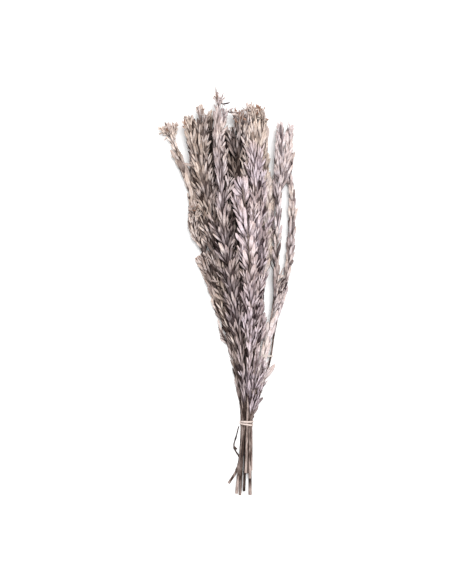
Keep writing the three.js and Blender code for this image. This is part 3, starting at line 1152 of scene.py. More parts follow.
@dataclass
class LeafyStem:
    """A cut stem with its side shoots, sprigs, leaves, florets and buds.

    Its points and its other places are in millimetres.

    Attributes:
        node: The node of the solid model that it replaces. Its name also seeds the stem's draws.
        tone: Its leaves' colouring.
        cut: The middle of its cut end.
        row, place: Where it stands in the tie.
        points: The points of its route above the tie.
        flare: How wide the leaves at its tip stand open, in degrees.
        pale: How pale its leaves are, from 0 to 1.
        paler: How that changes along Y, as pairs of place and change.
        sizes: Its leaves' size along Y, as pairs of place and share of the usual size.
        bark_pale: How pale its bark is, from 0 to 1.
        bend: A point that it passes between its cut end and the tie.
        bare: How far above the tie its leaves start, if not where its habit says.
        florets: How many florets stand at its tip.
        shoots: Its side shoots.
        sprigs: From where to where along Y it has sprigs.
        curly: Where small curled leaves crowd: from where to where along Y, on which side, -1 for the
            left and 1 for the right, and on which of its twigs, where 0 is the stem itself.
        bare_twigs: The points of its twigs without leaves.
        lone_leaves: Big leaves on the right of the bare stem, as place along Y, size and how pale.
        spikes: Narrow leaves that stand out, as place along Y, size, place round the stem and
            opening, the last two in degrees.
        floret_length: Its florets' length as a share of the usual.
        head_size: The size of the leaves at its tip, as a share of the usual.
        habit: How its leaves stand.
        habits: How they stand from a place along Y on, as pairs of place and habit.
        cut_radius, tied_radius, tip_radius: How thick it is at its cut end, in the tie and at its tip.
        scars: How many old leaf scars thicken its bare part.
        scar_places: Between which shares of its length they are.
    """

    node: str
    tone: Tone
    cut: Point
    row: int
    place: int
    points: tuple[Point, ...]
    flare: float
    pale: float = 0.5
    paler: tuple[tuple[float, float], ...] = ((0.0, 0.0),)
    sizes: tuple[tuple[float, float], ...] = ((0.0, 1.0),)
    bark_pale: float = 0.5
    bend: Point | None = None
    bare: float | None = None
    florets: int = 0
    shoots: tuple[Shoot, ...] = ()
    sprigs: tuple[tuple[float, float], ...] = ()
    curly: tuple[tuple[float, float, int, int], ...] = ()
    bare_twigs: tuple[tuple[Point, ...], ...] = ()
    lone_leaves: tuple[tuple[float, float, float], ...] = ()
    spikes: tuple[tuple[float, float, float, float], ...] = ()
    floret_length: float = 1.0
    head_size: float = 1.0
    habit: LeafHabit = field(default_factory=LeafHabit)
    habits: tuple[tuple[float, LeafHabit], ...] = ()
    cut_radius: float = 2.1 * MM
    tied_radius: float = 1.7 * MM
    tip_radius: float = 0.7 * MM
    scars: int = 5
    scar_places: tuple[float, float] = (0.01, 0.22)

    def __post_init__(self) -> None:
        """Lay the routes of the stem, its shoots and its sprigs."""
        below = [self.cut] if self.bend is None else [self.cut, self.bend]
        points = [*below, BUNDLE.seat(self.row, self.place), *self.points]
        self.route = Route(np.array(points) * MM)
        self.tied = self.route.share_at_y(0.0)
        self.random = random.Random(self.node)
        start = self.habit.start if self.bare is None else self.bare * MM
        leafy_from = self.route.share_at_y(start)
        self.twigs = [Twig(self.route, self.radius_at, leafy_from, self.flare, florets=self.florets)]
        for shoot in self.shoots:
            fork = self.route.at(self.route.share_at_y(shoot.from_y * MM))[0]
            route = Route([fork, *(np.array(shoot.route) * MM)])
            florets = max(0, self.florets - 1) if shoot.size == 1 else 0
            leafy_from = self.habit.shoot_start / route.length
            self.twigs.append(Twig(route, SHOOT_RADIUS, leafy_from, shoot.flare, shoot.size, florets,
                                   shoot.pale, shoot.habit))
        self.add_sprigs()

    def add_sprigs(self) -> None:
        """Lay the sprigs: short leafy twigs on alternate sides, where the bunch has room for them."""
        side, shortest, bare, flare, size = 1, 18 * MM, 5 * MM, 24, 0.8
        for y, high in self.sprigs:
            while y < high:
                length = self.random.uniform(30, 46) * MM
                while length > shortest:
                    route = self.sprig_route(self.route.share_at_y(y * MM), side, length)
                    if out_of_reach(route.places) == 0:
                        self.twigs.append(Twig(route, SPRIG_RADIUS, bare / route.length, flare, size))
                        break
                    length *= 0.8
                y += self.random.uniform(13, 21)
                side = -side

    def sprig_route(self, share: float, side: int, length: float) -> Route:
        """Lay one sprig.

        Args:
            share: Where it leaves the stem, as a share of the stem's length.
            side: -1 for the left and 1 for the right.
            length: Its length.

        Returns:
            Its route.
        """
        point, heading, outward, _ = self.route.frame(share, side * math.pi / 2)
        lean = math.radians(self.random.uniform(13, 22))
        out = unit(outward + UP * self.random.uniform(-0.15, 0.3))
        middle = point + (heading * math.cos(lean) + out * math.sin(lean) * 1.25) * length * 0.4
        tip = point + (heading * math.cos(lean) + out * math.sin(lean) * 0.9) * length
        knots = np.array([point, middle, tip])
        lay_on_table(knots, 1.5 * MM)
        return Route(knots, steps=6)

    def pale_at(self, y: float) -> float:
        """Return how pale the leaves are at a place along Y."""
        return self.pale + float(np.interp(y / MM, *zip(*self.paler)))

    def size_at(self, y: float) -> float:
        """Return how large the leaves are at a place along Y, as a share of the usual."""
        return float(np.interp(y / MM, *zip(*self.sizes)))

    def radius_at(self, share: float) -> float:
        """Say how thick the stem is: it thins a little to the tie and then to its tip.

        Args:
            share: The share of its length.

        Returns:
            Its radius there.
        """
        if share < self.tied:
            return self.cut_radius + (self.tied_radius - self.cut_radius) * share / self.tied
        loss = self.tip_radius - self.tied_radius
        return self.tied_radius + loss * (share - self.tied) / (1 - self.tied)

    def build_wood(self, bark: Material, cut_wood: Material, air: Air) -> bpy.types.Object:
        """Make the stem, its shoots' and sprigs' stalks and its bare twigs.

        Args:
            bark: The material of the sides.
            cut_wood: The material of the cut end.
            air: The space that has been filled.

        Returns:
            The piece.
        """
        pile = Pile()
        scars = [self.random.uniform(*self.scar_places) * self.route.length for _ in range(self.scars)]
        stem = Rod(self.route, self.radius_at, pale=self.bark_pale, knots=scars, end_pale=0.3)
        stem.add_to(pile, bark=0, cut=1)
        for twig in self.twigs[1:]:
            Rod(twig.route, twig.radius_at, pale=self.bark_pale, sides=8).add_to(pile)
        for points in self.bare_twigs:
            route = Route(np.array(points) * MM)
            knots = (0.3 * route.length, 0.62 * route.length)
            bare = Rod(route, BARE_TWIG_RADIUS, 0.4, sides=8, every=2 * MM, knots=knots, knot_swell=0.5)
            bare.add_to(pile)
        air.fill(np.concatenate(pile.corners))
        return pile.piece(f"{self.node}_wood", (bark, cut_wood))

    def habit_at(self, y: float, twig: Twig) -> LeafHabit:
        """Say how leaves stand on a twig.

        Args:
            y: The place along Y.
            twig: The stem, shoot or sprig.

        Returns:
            The habit that holds there.
        """
        if twig.size != 1:
            return self.habit
        passed = [habit for start, habit in self.habits if y > start * MM]
        return twig.habit or (passed[-1] if passed else self.habit)

    def leaf(self, habit: LeafHabit, size: float, opening: float, pale: float) -> Leaf:
        """Draw one leaf with its own small differences.

        Args:
            habit: How leaves stand there.
            size: Its size as a share of a full leaf.
            opening: How far it stands from its stem, in radians.
            pale: How pale it is, from 0 to 1.

        Returns:
            The leaf.
        """
        draw = self.random
        darker = 0.5
        return Leaf(
            length=habit.length * size * draw.uniform(0.84, 1.16),
            width=habit.width * size**0.7 * draw.uniform(0.82, 1.12),
            opening=opening,
            curl=draw.uniform(0.1, 1.1),
            cup=draw.uniform(-0.3, 0.8),
            facing=draw.uniform(*habit.facing),
            roll=draw.uniform(-habit.roll, habit.roll),
            wave=draw.uniform(0.0, 0.3),
            pale=pale + draw.gauss(0, habit.pale_spread)
            - (darker if draw.random() < habit.dark_share else 0.0),
            bend=draw.uniform(-0.1, 0.1),
            blunt=draw.uniform(2.0, 4.2),
        )

    def curled_leaf(self, size: float, pale: float) -> Leaf:
        """Draw one small leaf that has dried into a curl.

        Args:
            size: Its size, where 1 is about 11 mm long.
            pale: How pale it is, from 0 to 1.

        Returns:
            The leaf.
        """
        draw = self.random
        return Leaf(
            length=11 * MM * size * draw.uniform(0.7, 1.3),
            width=2.6 * MM * size * draw.uniform(0.8, 1.2),
            opening=math.radians(draw.uniform(16, 46)),
            curl=draw.choice((-0.8, -0.4, 0.9, 1.5)),
            cup=draw.uniform(0.2, 0.9),
            facing=draw.uniform(0.1, 0.7),
            roll=draw.uniform(-1.5, 1.5),
            wave=draw.uniform(0.0, 0.3),
            pale=pale + draw.gauss(0, 0.42),
            root_tone=0.25,
        )

    def place_leaf(
        self, pile: Pile, air: Air, route: Route, share: float, azimuth: float, radius: float, leaf: Leaf,
        free: bool = False, slot: int = 0,
    ) -> None:
        """Add a leaf where it is most clear of what stands there already.

        Args:
            pile: The piece that it becomes part of.
            air: The space that has been filled.
            route: The stem or shoot that it grows on.
            share: Its place along that.
            azimuth: Its place round that, in radians.
            radius: How thick the stem is there.
            leaf: The leaf.
            free: True for a leaf that stands alone, where nothing is in its way.
            slot: Which of the piece's materials it has.
        """
        best, better_by = None, 0.02
        for opening, length, swing in self.habit.tries[:1] if free else self.habit.tries:
            point, heading, outward, _ = route.frame(share, azimuth + math.radians(swing))
            bent = replace(leaf, opening=leaf.opening * opening, length=leaf.length * length)
            corners = bent.corners(point + outward * radius * ROOT_DEPTH, heading, outward)
            sunk = lay_on_table(corners)
            rings = corners[Leaf.BODY:-1].reshape(-1, Leaf.RING, 3)
            between = (rings[1:] + rings[:-1]).reshape(-1, 3) / 2
            body = np.concatenate((corners[Leaf.BODY:], between))
            clash = 0.0 if free else air.clash(body) + 0.3 * sunk + 2 * out_of_reach(corners[1::4])
            if best is None or clash < best[0] - better_by:
                best = (clash, corners, body, bent)
            if clash < self.habit.clear:
                break
        clash, corners, body, bent = best
        if clash > self.habit.worst_clash:
            return
        air.fill(body)
        pile.add(corners, bent.shades(), LEAF_FACES, slot)

    def grow_leaves(self, air: Air) -> Pile:
        """Grow the leaves of the stem, its shoots and its sprigs.

        Args:
            air: The space that has been filled.

        Returns:
            The leaves' faces.
        """
        pile = Pile()
        for twig in self.twigs:
            self.grow_along(twig, pile, air)
        self.add_lone_leaves(pile, air)
        self.add_curls(pile, air)
        return pile

    def grow_along(self, twig: Twig, pile: Pile, air: Air) -> None:
        """Grow the leaves along a twig.

        Args:
            twig: The stem, shoot or sprig.
            pile: The piece that they become part of.
            air: The space that has been filled.
        """
        draw = self.random
        habit = self.habit_at(twig.route.places[0, 1], twig)
        first = habit.first_turn + draw.uniform(-1, 1) * habit.first_spread
        count, length = 0, twig.route.length
        travelled = twig.start * length
        while travelled < length - 2 * MM:
            share = travelled / length
            y = twig.route.at(share)[0][1]
            grown = min(1.0, max(0.0, y - habit.start) / (habit.full_size_y - habit.start))
            size = rising(habit.low_size, grown)
            size *= min(1.0, rising(habit.tip_size, (length - travelled) / habit.tip_reach)) * twig.size
            size *= self.size_at(y)
            if habit is not self.habit_at(y, twig):
                habit = self.habit_at(y, twig)
                first = habit.first_turn - count * habit.turn
            azimuth = first + count * habit.turn + draw.uniform(-1, 1) * habit.turn_spread
            opening = habit.opening * rising(habit.low_opening, grown) * draw.uniform(0.7, 1.35)
            opening *= habit.wide_opening if draw.random() < habit.wide_share else 1.0
            leaf = self.leaf(habit, size, opening, self.pale_at(y) + twig.pale + 0.12 * grown - 0.08)
            leaf = replace(leaf, width=leaf.width * rising(habit.low_width, grown))
            self.place_leaf(pile, air, twig.route, share, azimuth, twig.radius_at(share), leaf)
            count += 1
            travelled += habit.every * draw.uniform(0.75, 1.25) * rising(habit.low_every, grown)

    def add_lone_leaves(self, pile: Pile, air: Air) -> None:
        """Add the leaves that stand alone on the bare stem, and those that stand out from its tip.

        Args:
            pile: The piece that they become part of.
            air: The space that has been filled.
        """
        for y, size, pale in self.lone_leaves:
            share = self.route.share_at_y(y * MM)
            leaf = self.leaf(self.habit, size, LONE_OPENING, pale)
            leaf = replace(leaf, width=leaf.width * LONE_WIDTH, pale=pale, **LONE_LOOK)
            right = math.radians(90)
            self.place_leaf(pile, air, self.route, share, right, self.radius_at(share), leaf, free=True)
        for y, size, azimuth, opening in self.spikes:
            share = self.route.share_at_y(y * MM)
            leaf = self.leaf(self.habit, size, math.radians(opening), SPIKE_PALE)
            leaf = replace(leaf, width=leaf.width * SPIKE_WIDTH, **SPIKE_LOOK)
            turn = math.radians(azimuth)
            self.place_leaf(pile, air, self.route, share, turn, self.tip_radius, leaf, free=True)

    def add_curls(self, pile: Pile, air: Air) -> None:
        """Add the crowds of small curled leaves at the side of the stem or a shoot.

        Args:
            pile: The piece that they become part of.
            air: The space that has been filled.
        """
        draw = self.random
        dark_or_light = (-0.5, 0.3, 0.55)
        for low, high, side, which in self.curly:
            route = self.twigs[which].route
            y = low
            while y < high:
                share = route.share_at_y(y * MM)
                azimuth = side * math.radians(draw.uniform(20, 130))
                aside = draw.uniform(1, 9) * MM
                leaf = self.curled_leaf(1.0, self.pale_at(y * MM) + draw.choice(dark_or_light))
                self.place_leaf(pile, air, route, share, azimuth, aside / ROOT_DEPTH, leaf)
                y += draw.uniform(0.7, 1.5)

    def grow_heads(self, air: Air) -> Pile:
        """Grow the open whorls of small leaves at the tips, and the florets with their buds.

        Args:
            air: The space that has been filled.

        Returns:
            The heads' faces, in the slots of leaf, bud and bark.
        """
        pile = Pile()
        draw = self.random
        for twig in self.twigs:
            turn = draw.uniform(0, math.tau)
            habit = self.habit_at(twig.route.places[-1, 1], twig)
            tip_pale = self.pale_at(twig.route.places[-1, 1]) + habit.head_pale
            whorls = habit.whorls if twig.size == 1 else habit.sprig_whorls
            for ring, (back, count, share_open, size) in enumerate(whorls):
                for i in range(count):
                    azimuth = turn + math.tau * i / count + ring * 0.5 + draw.uniform(-0.25, 0.25)
                    opening = math.radians(twig.flare) * share_open * draw.uniform(0.8, 1.15)
                    opening = max(opening, habit.head_least_opening)
                    leaf = self.leaf(habit, size * self.head_size, opening, tip_pale)
                    width = leaf.width * habit.head_width
                    leaf = replace(leaf, width=width, root_tone=habit.head_root_tone)
                    share = 1 - back * MM / twig.route.length
                    self.place_leaf(pile, air, twig.route, share, azimuth, habit.head_radius, leaf)
            for i in range(twig.florets):
                self.add_floret(pile, air, twig, turn + math.tau * i / twig.florets)
        return pile

    def add_floret(self, pile: Pile, air: Air, twig: Twig, azimuth: float) -> None:
        """Add a floret: a short stalk with small curled leaves and a few buds at its end.

        Args:
            pile: The piece.
            air: The space that has been filled.
            twig: The stem or shoot that it grows on.
            azimuth: Its place round that, in radians.
        """
        draw = self.random
        back = draw.uniform(*FLORET.back) * MM
        point, heading, outward, _ = twig.route.frame(1 - back / twig.route.length, azimuth)
        lean = math.radians(twig.flare) * draw.uniform(*FLORET.lean)
        length = (back + draw.uniform(*FLORET.beyond) * MM) * self.floret_length
        way = heading * math.cos(lean) + unit(outward * 0.8 + UP * 0.15) * math.sin(lean)
        while True:
            end = point + unit(way + heading * 0.15) * length
            knots = np.array([point, point + way * length * 0.5, end])
            lay_on_table(knots, 1.5 * MM)
            route = Route(knots, steps=4)
            if out_of_reach(route.places[-5:]) == 0 or length < FLORET.shortest:
                break
            length *= 0.75
        Rod(route, FLORET_RADIUS, sides=6, every=3 * MM).add_to(pile, bark=2)
        turn = draw.uniform(0, math.tau)
        for i in range(FLORET.leaves):
            share = FLORET.first_leaf + FLORET.leaves_over * i / (FLORET.leaves - 1)
            leaf = self.curled_leaf(FLORET.leaf_size, self.pale_at(point[1]) + FLORET.leaf_pale)
            slot = 1 if draw.random() < FLORET.bud_coloured else 0
            azimuth = turn + i * self.habit.turn
            self.place_leaf(pile, air, route, share, azimuth, FLORET.leaf_root, leaf, slot=slot)
        self.add_buds(pile, route, draw.randint(1, FLORET.most_buds))

    def add_buds(self, pile: Pile, route: Route, count: int) -> None:
        """Add some buds on short stalks at a tip.

        Args:
            pile: The piece.
            route: The stem or shoot.
            count: How many there are.
        """
        draw = self.random
        for i in range(count):
            azimuth = math.tau * i / count + draw.uniform(-0.4, 0.4)
            point, heading, outward, across = route.frame(1.0, azimuth)
            lean = draw.uniform(*BUD.lean)
            way = heading * math.cos(lean) + outward * math.sin(lean)
            out = unit(np.cross(across, way))
            size = draw.uniform(*BUD.size)
            corners, shades = [], []
            for travel, radius in BUD.outline:
                for side in range(BUD.sides):
                    angle = math.tau * side / BUD.sides
                    wide = radius * size * MM * (1 + BUD.ridges * (side % 2))
                    spoke = math.cos(angle) * across + math.sin(angle) * out
                    corners.append(point + way * travel * size * MM + wide * spoke)
                    shades.append((0.5, travel / BUD.outline[-1][0], 0.0))
            last = len(corners) - BUD.sides
            faces = tube_faces(len(BUD.outline), BUD.sides)
            faces.append(tuple(range(last, last + BUD.sides)))
            faces.append(tuple(range(BUD.sides - 1, -1, -1)))
            bud = np.array(corners)
            lay_on_table(bud)
            pile.add(bud, np.array(shades), faces, 1)


# ---------------------------------------------------------------------------- ties


def hull_loop(circles: Sequence[Point], count: int) -> np.ndarray:
    """Find the line of a tight loop round some circles.

    Args:
        circles: Each circle's X, Z and radius.
        count: How many points the loop has.

    Returns:
        The loop's points as X and Z, evenly spaced.
    """
    turns = [math.tau * i / 48 for i in range(48)]
    points = sorted(
        (x + radius * math.cos(turn), z + radius * math.sin(turn))
        for x, z, radius in circles
        for turn in turns
    )

    def half(ordered: Iterable[tuple[float, float]]) -> list[tuple[float, float]]:
        """Find one side of the hull.

        Args:
            ordered: All points, from the left for the lower side or from the right for the upper one.

        Returns:
            That side's points, without the last.
        """
        chain: list[tuple[float, float]] = []
        for point in ordered:
            while len(chain) > 1 and (
                (chain[-1][0] - chain[-2][0]) * (point[1] - chain[-2][1])
                - (chain[-1][1] - chain[-2][1]) * (point[0] - chain[-2][0])
            ) <= 0:
                chain.pop()
            chain.append(point)
        return chain[:-1]

    hull = np.array([*half(points), *half(reversed(points))])
    closed = np.concatenate((hull, hull[:1]))
    travelled = np.concatenate(([0.0], np.cumsum(np.linalg.norm(np.diff(closed, axis=0), axis=1))))
    goals = np.linspace(0, travelled[-1], count, endpoint=False)
    return np.stack([np.interp(goals, travelled, closed[:, i]) for i in range(2)], axis=1)


def circles_at(stems: Sequence[LeafyStem], y: float, spread: float, offset: float) -> list[Point]:
    """Give the stems' outlines near a place along Y.

    Args:
        stems: The stems.
        y: The place.
        spread: How far to each side of it the outlines are taken.
        offset: How far outside the stems the circles run.

    Returns:
        Each circle's X, Z and radius.
    """
    circles = []
    for stem in stems:
        for side in (-1, 0, 1):
            share = stem.route.share_at_y(y + side * spread)
            point = stem.route.at(share)[0]
            circles.append((point[0], point[2], stem.radius_at(share) + offset))
    return circles


@dataclass
class RaffiaTie:
    """The flat raffia tie, wound twice round the bundle. The lower turn meets the upper on the left."""

    width: float = 2.5 * MM
    thickness: float = 0.95 * MM
    upper_y: float = 2.4 * MM
    lower_y: float = -1.7 * MM
    lower_slope: float = 0.13
    lower_phase: float = 2.1
    face_points: int = 13
    back_points: int = 5
    points: int = 120
    pleats: float = 9.5  # how close the pleats are across it
    pleat_depth: float = 0.07 * MM
    wander: float = 0.12 * MM

    def build(self, stems: Sequence[LeafyStem], raffia: Material) -> bpy.types.Object:
        """Make the tie.

        Args:
            stems: The stems that it holds.
            raffia: Its material.

        Returns:
            The piece.
        """
        pile = Pile()
        self.add_turn(pile, stems, self.upper_y, 0.0, 0.0)
        self.add_turn(pile, stems, self.lower_y, self.lower_slope, self.lower_phase)
        return pile.piece("raffia_tie", (raffia,), crease=60)

    def add_turn(
        self, pile: Pile, stems: Sequence[LeafyStem], y: float, slope: float, phase: float
    ) -> None:
        """Add one turn: a band with pleats along it, swept round the bundle.

        Args:
            pile: The piece.
            stems: The stems that it holds.
            y: The place of its middle at X = 0.
            slope: How far it falls in Y to the right.
            phase: Where its unevenness starts.
        """
        middle = (BUNDLE.gap + BUNDLE.tie_thickness) * MM - self.thickness / 2
        loop = hull_loop(circles_at(stems, y, self.width / 2, middle), self.points)
        ahead = np.roll(loop, -1, axis=0) - np.roll(loop, 1, axis=0)
        outward = np.stack((ahead[:, 1], -ahead[:, 0]), axis=1) / np.linalg.norm(ahead, axis=1)[:, None]
        section = [(across, 1) for across in np.linspace(-1, 1, self.face_points)]
        section += [(across, -1) for across in np.linspace(1, -1, self.back_points)]
        corners, shades = [], []
        for i, (place, out) in enumerate(zip(loop, outward)):
            turn = math.tau * i / self.points
            wide = self.width / 2 * (1 + 0.05 * math.sin(3 * turn + phase) + 0.03 * math.sin(7 * turn))
            for across, side in section:
                edge = (1 - across**6) ** 0.5 if abs(across) < 1 else 0.0
                pleat = self.pleat_depth * math.sin(self.pleats * across + 0.8 * math.sin(2 * turn + phase))
                pleat = pleat if side > 0 else 0.0
                lift = side * self.thickness / 2 * (0.35 + 0.65 * edge) + pleat * edge
                lift = min(lift, self.thickness / 2)
                x, z = place + out * lift
                along_y = y + across * wide - slope * x + self.wander * math.sin(4 * turn + phase)
                corners.append((x, along_y, max(z, 0.0)))
                shades.append((0.5, i / self.points, (across + 1) / 2))
        faces = tube_faces(self.points, len(section), closed=True)
        pile.add(np.array(corners), np.array(shades), faces)


@dataclass
class SideThread:
    """The fine thread round the two right-hand stems. bow is how its end runs on in two small loops,
    in millimetres from the last turn."""

    y: float = 99 * MM
    radius: float = 0.33 * MM
    turns: int = 3
    pitch: float = 0.72 * MM
    slack: float = 1.8 * MM
    turn_points: int = 40
    ring_every: float = 0.7 * MM
    bow: tuple[Point, ...] = (
        (2.6, 1.6, 1.0), (4.6, 1.0, 1.8), (3.4, -0.6, 1.4), (0.6, -0.6, 0.9), (-1.8, 1.0, 1.6),
        (-3.6, 2.2, 1.4), (-3.2, 3.2, 0.8), (-0.6, 1.4, 0.8), (1.2, -1.8, 0.9), (2.2, -4.2, 0.4),
    )

    def build(self, stems: Sequence[LeafyStem], cotton: Material) -> bpy.types.Object:
        """Make the thread.

        Args:
            stems: The two stems.
            cotton: Its material.

        Returns:
            The piece.
        """
        stretch = 0.6 * MM
        loop = hull_loop(circles_at(stems, self.y, stretch, self.slack + self.radius), self.turn_points)
        top = int(np.argmax(loop[:, 1] + 0.2 * loop[:, 0]))
        loop = np.roll(loop, -top, axis=0)
        points = []
        count = len(loop) * self.turns
        for i in range(count + 1):
            x, z = loop[i % len(loop)]
            points.append((x, self.y + (i / count - 0.5) * self.pitch * self.turns, z))
        x, y, z = points[-1]
        points += [(x + right * MM, y + ahead * MM, z + up * MM) for right, ahead, up in self.bow]
        pile = Pile()
        Rod(Route(points, steps=3), lambda share: self.radius, sides=8, every=self.ring_every).add_to(pile)
        return pile.piece("side_thread_cord", (cotton,))


# ---------------------------------------------------------------------------- the studio


@dataclass(frozen=True)
class Studio:
    """The table, the lights and the camera, which looks straight down."""

    middle: tuple[float, float] = (-30.8 * MM, 193.6 * MM)
    frame_height: float = 857 * MM
    lens: float = 85.0
    sensor: float = 36.0
    looks_at: float = 20 * MM
    table_half: float = 40.0
    sky: float = 0.48

    def build(self) -> None:
        """Make the table, the lights and the camera."""
        self.add_table()
        self.add_light("key_light", (0.3, 0.45, 1.9), spread=30, strength=3.5)
        self.add_light("fill_light", (-1.0, 0.1, 1.3), spread=70, strength=0.8)
        self.add_camera()
        world = bpy.data.worlds.new("studio")
        world.use_nodes = True
        background = world.node_tree.nodes["Background"]
        background.inputs["Color"].default_value = WHITE
        background.inputs["Strength"].default_value = self.sky
        bpy.context.scene.world = world
        bpy.context.scene.view_settings.view_transform = "Standard"

    def add_table(self) -> None:
        """Make the plain pale table top."""
        half = self.table_half
        mesh = bpy.data.meshes.new("table_top")
        corners = [(-half, -half, 0), (half, -half, 0), (half, half, 0), (-half, half, 0)]
        mesh.from_pydata(corners, [], [(0, 1, 2, 3)])
        mesh.materials.append(TableFinish().material())
        table = bpy.data.objects.new("table_top", mesh)
        bpy.context.scene.collection.objects.link(table)

    def add_light(self, name: str, way: Point, spread: float, strength: float) -> None:
        """Add a far soft light that faces the bunch.

        Args:
            name: Its name.
            way: Which way it stands from the bunch.
            spread: How wide it looks from there, in degrees.
            strength: Its strength in watts a square metre.
        """
        light = bpy.data.lights.new(name, "SUN")
        light.angle = math.radians(spread)
        light.energy = strength
        obj = bpy.data.objects.new(name, light)
        obj.location = way
        obj.rotation_euler = (-Vector(way)).to_track_quat("-Z", "Y").to_euler()
        bpy.context.scene.collection.objects.link(obj)

    def add_camera(self) -> None:
        """Add the camera, as far up as its lens needs."""
        camera = bpy.data.cameras.new("camera")
        camera.lens = self.lens
        camera.sensor_width = self.sensor
        distance = self.frame_height * self.lens / self.sensor
        obj = bpy.data.objects.new("camera", camera)
        obj.location = (*self.middle, self.looks_at + distance)
        bpy.context.scene.collection.objects.link(obj)
        bpy.context.scene.camera = obj


# ---------------------------------------------------------------------------- the bunch


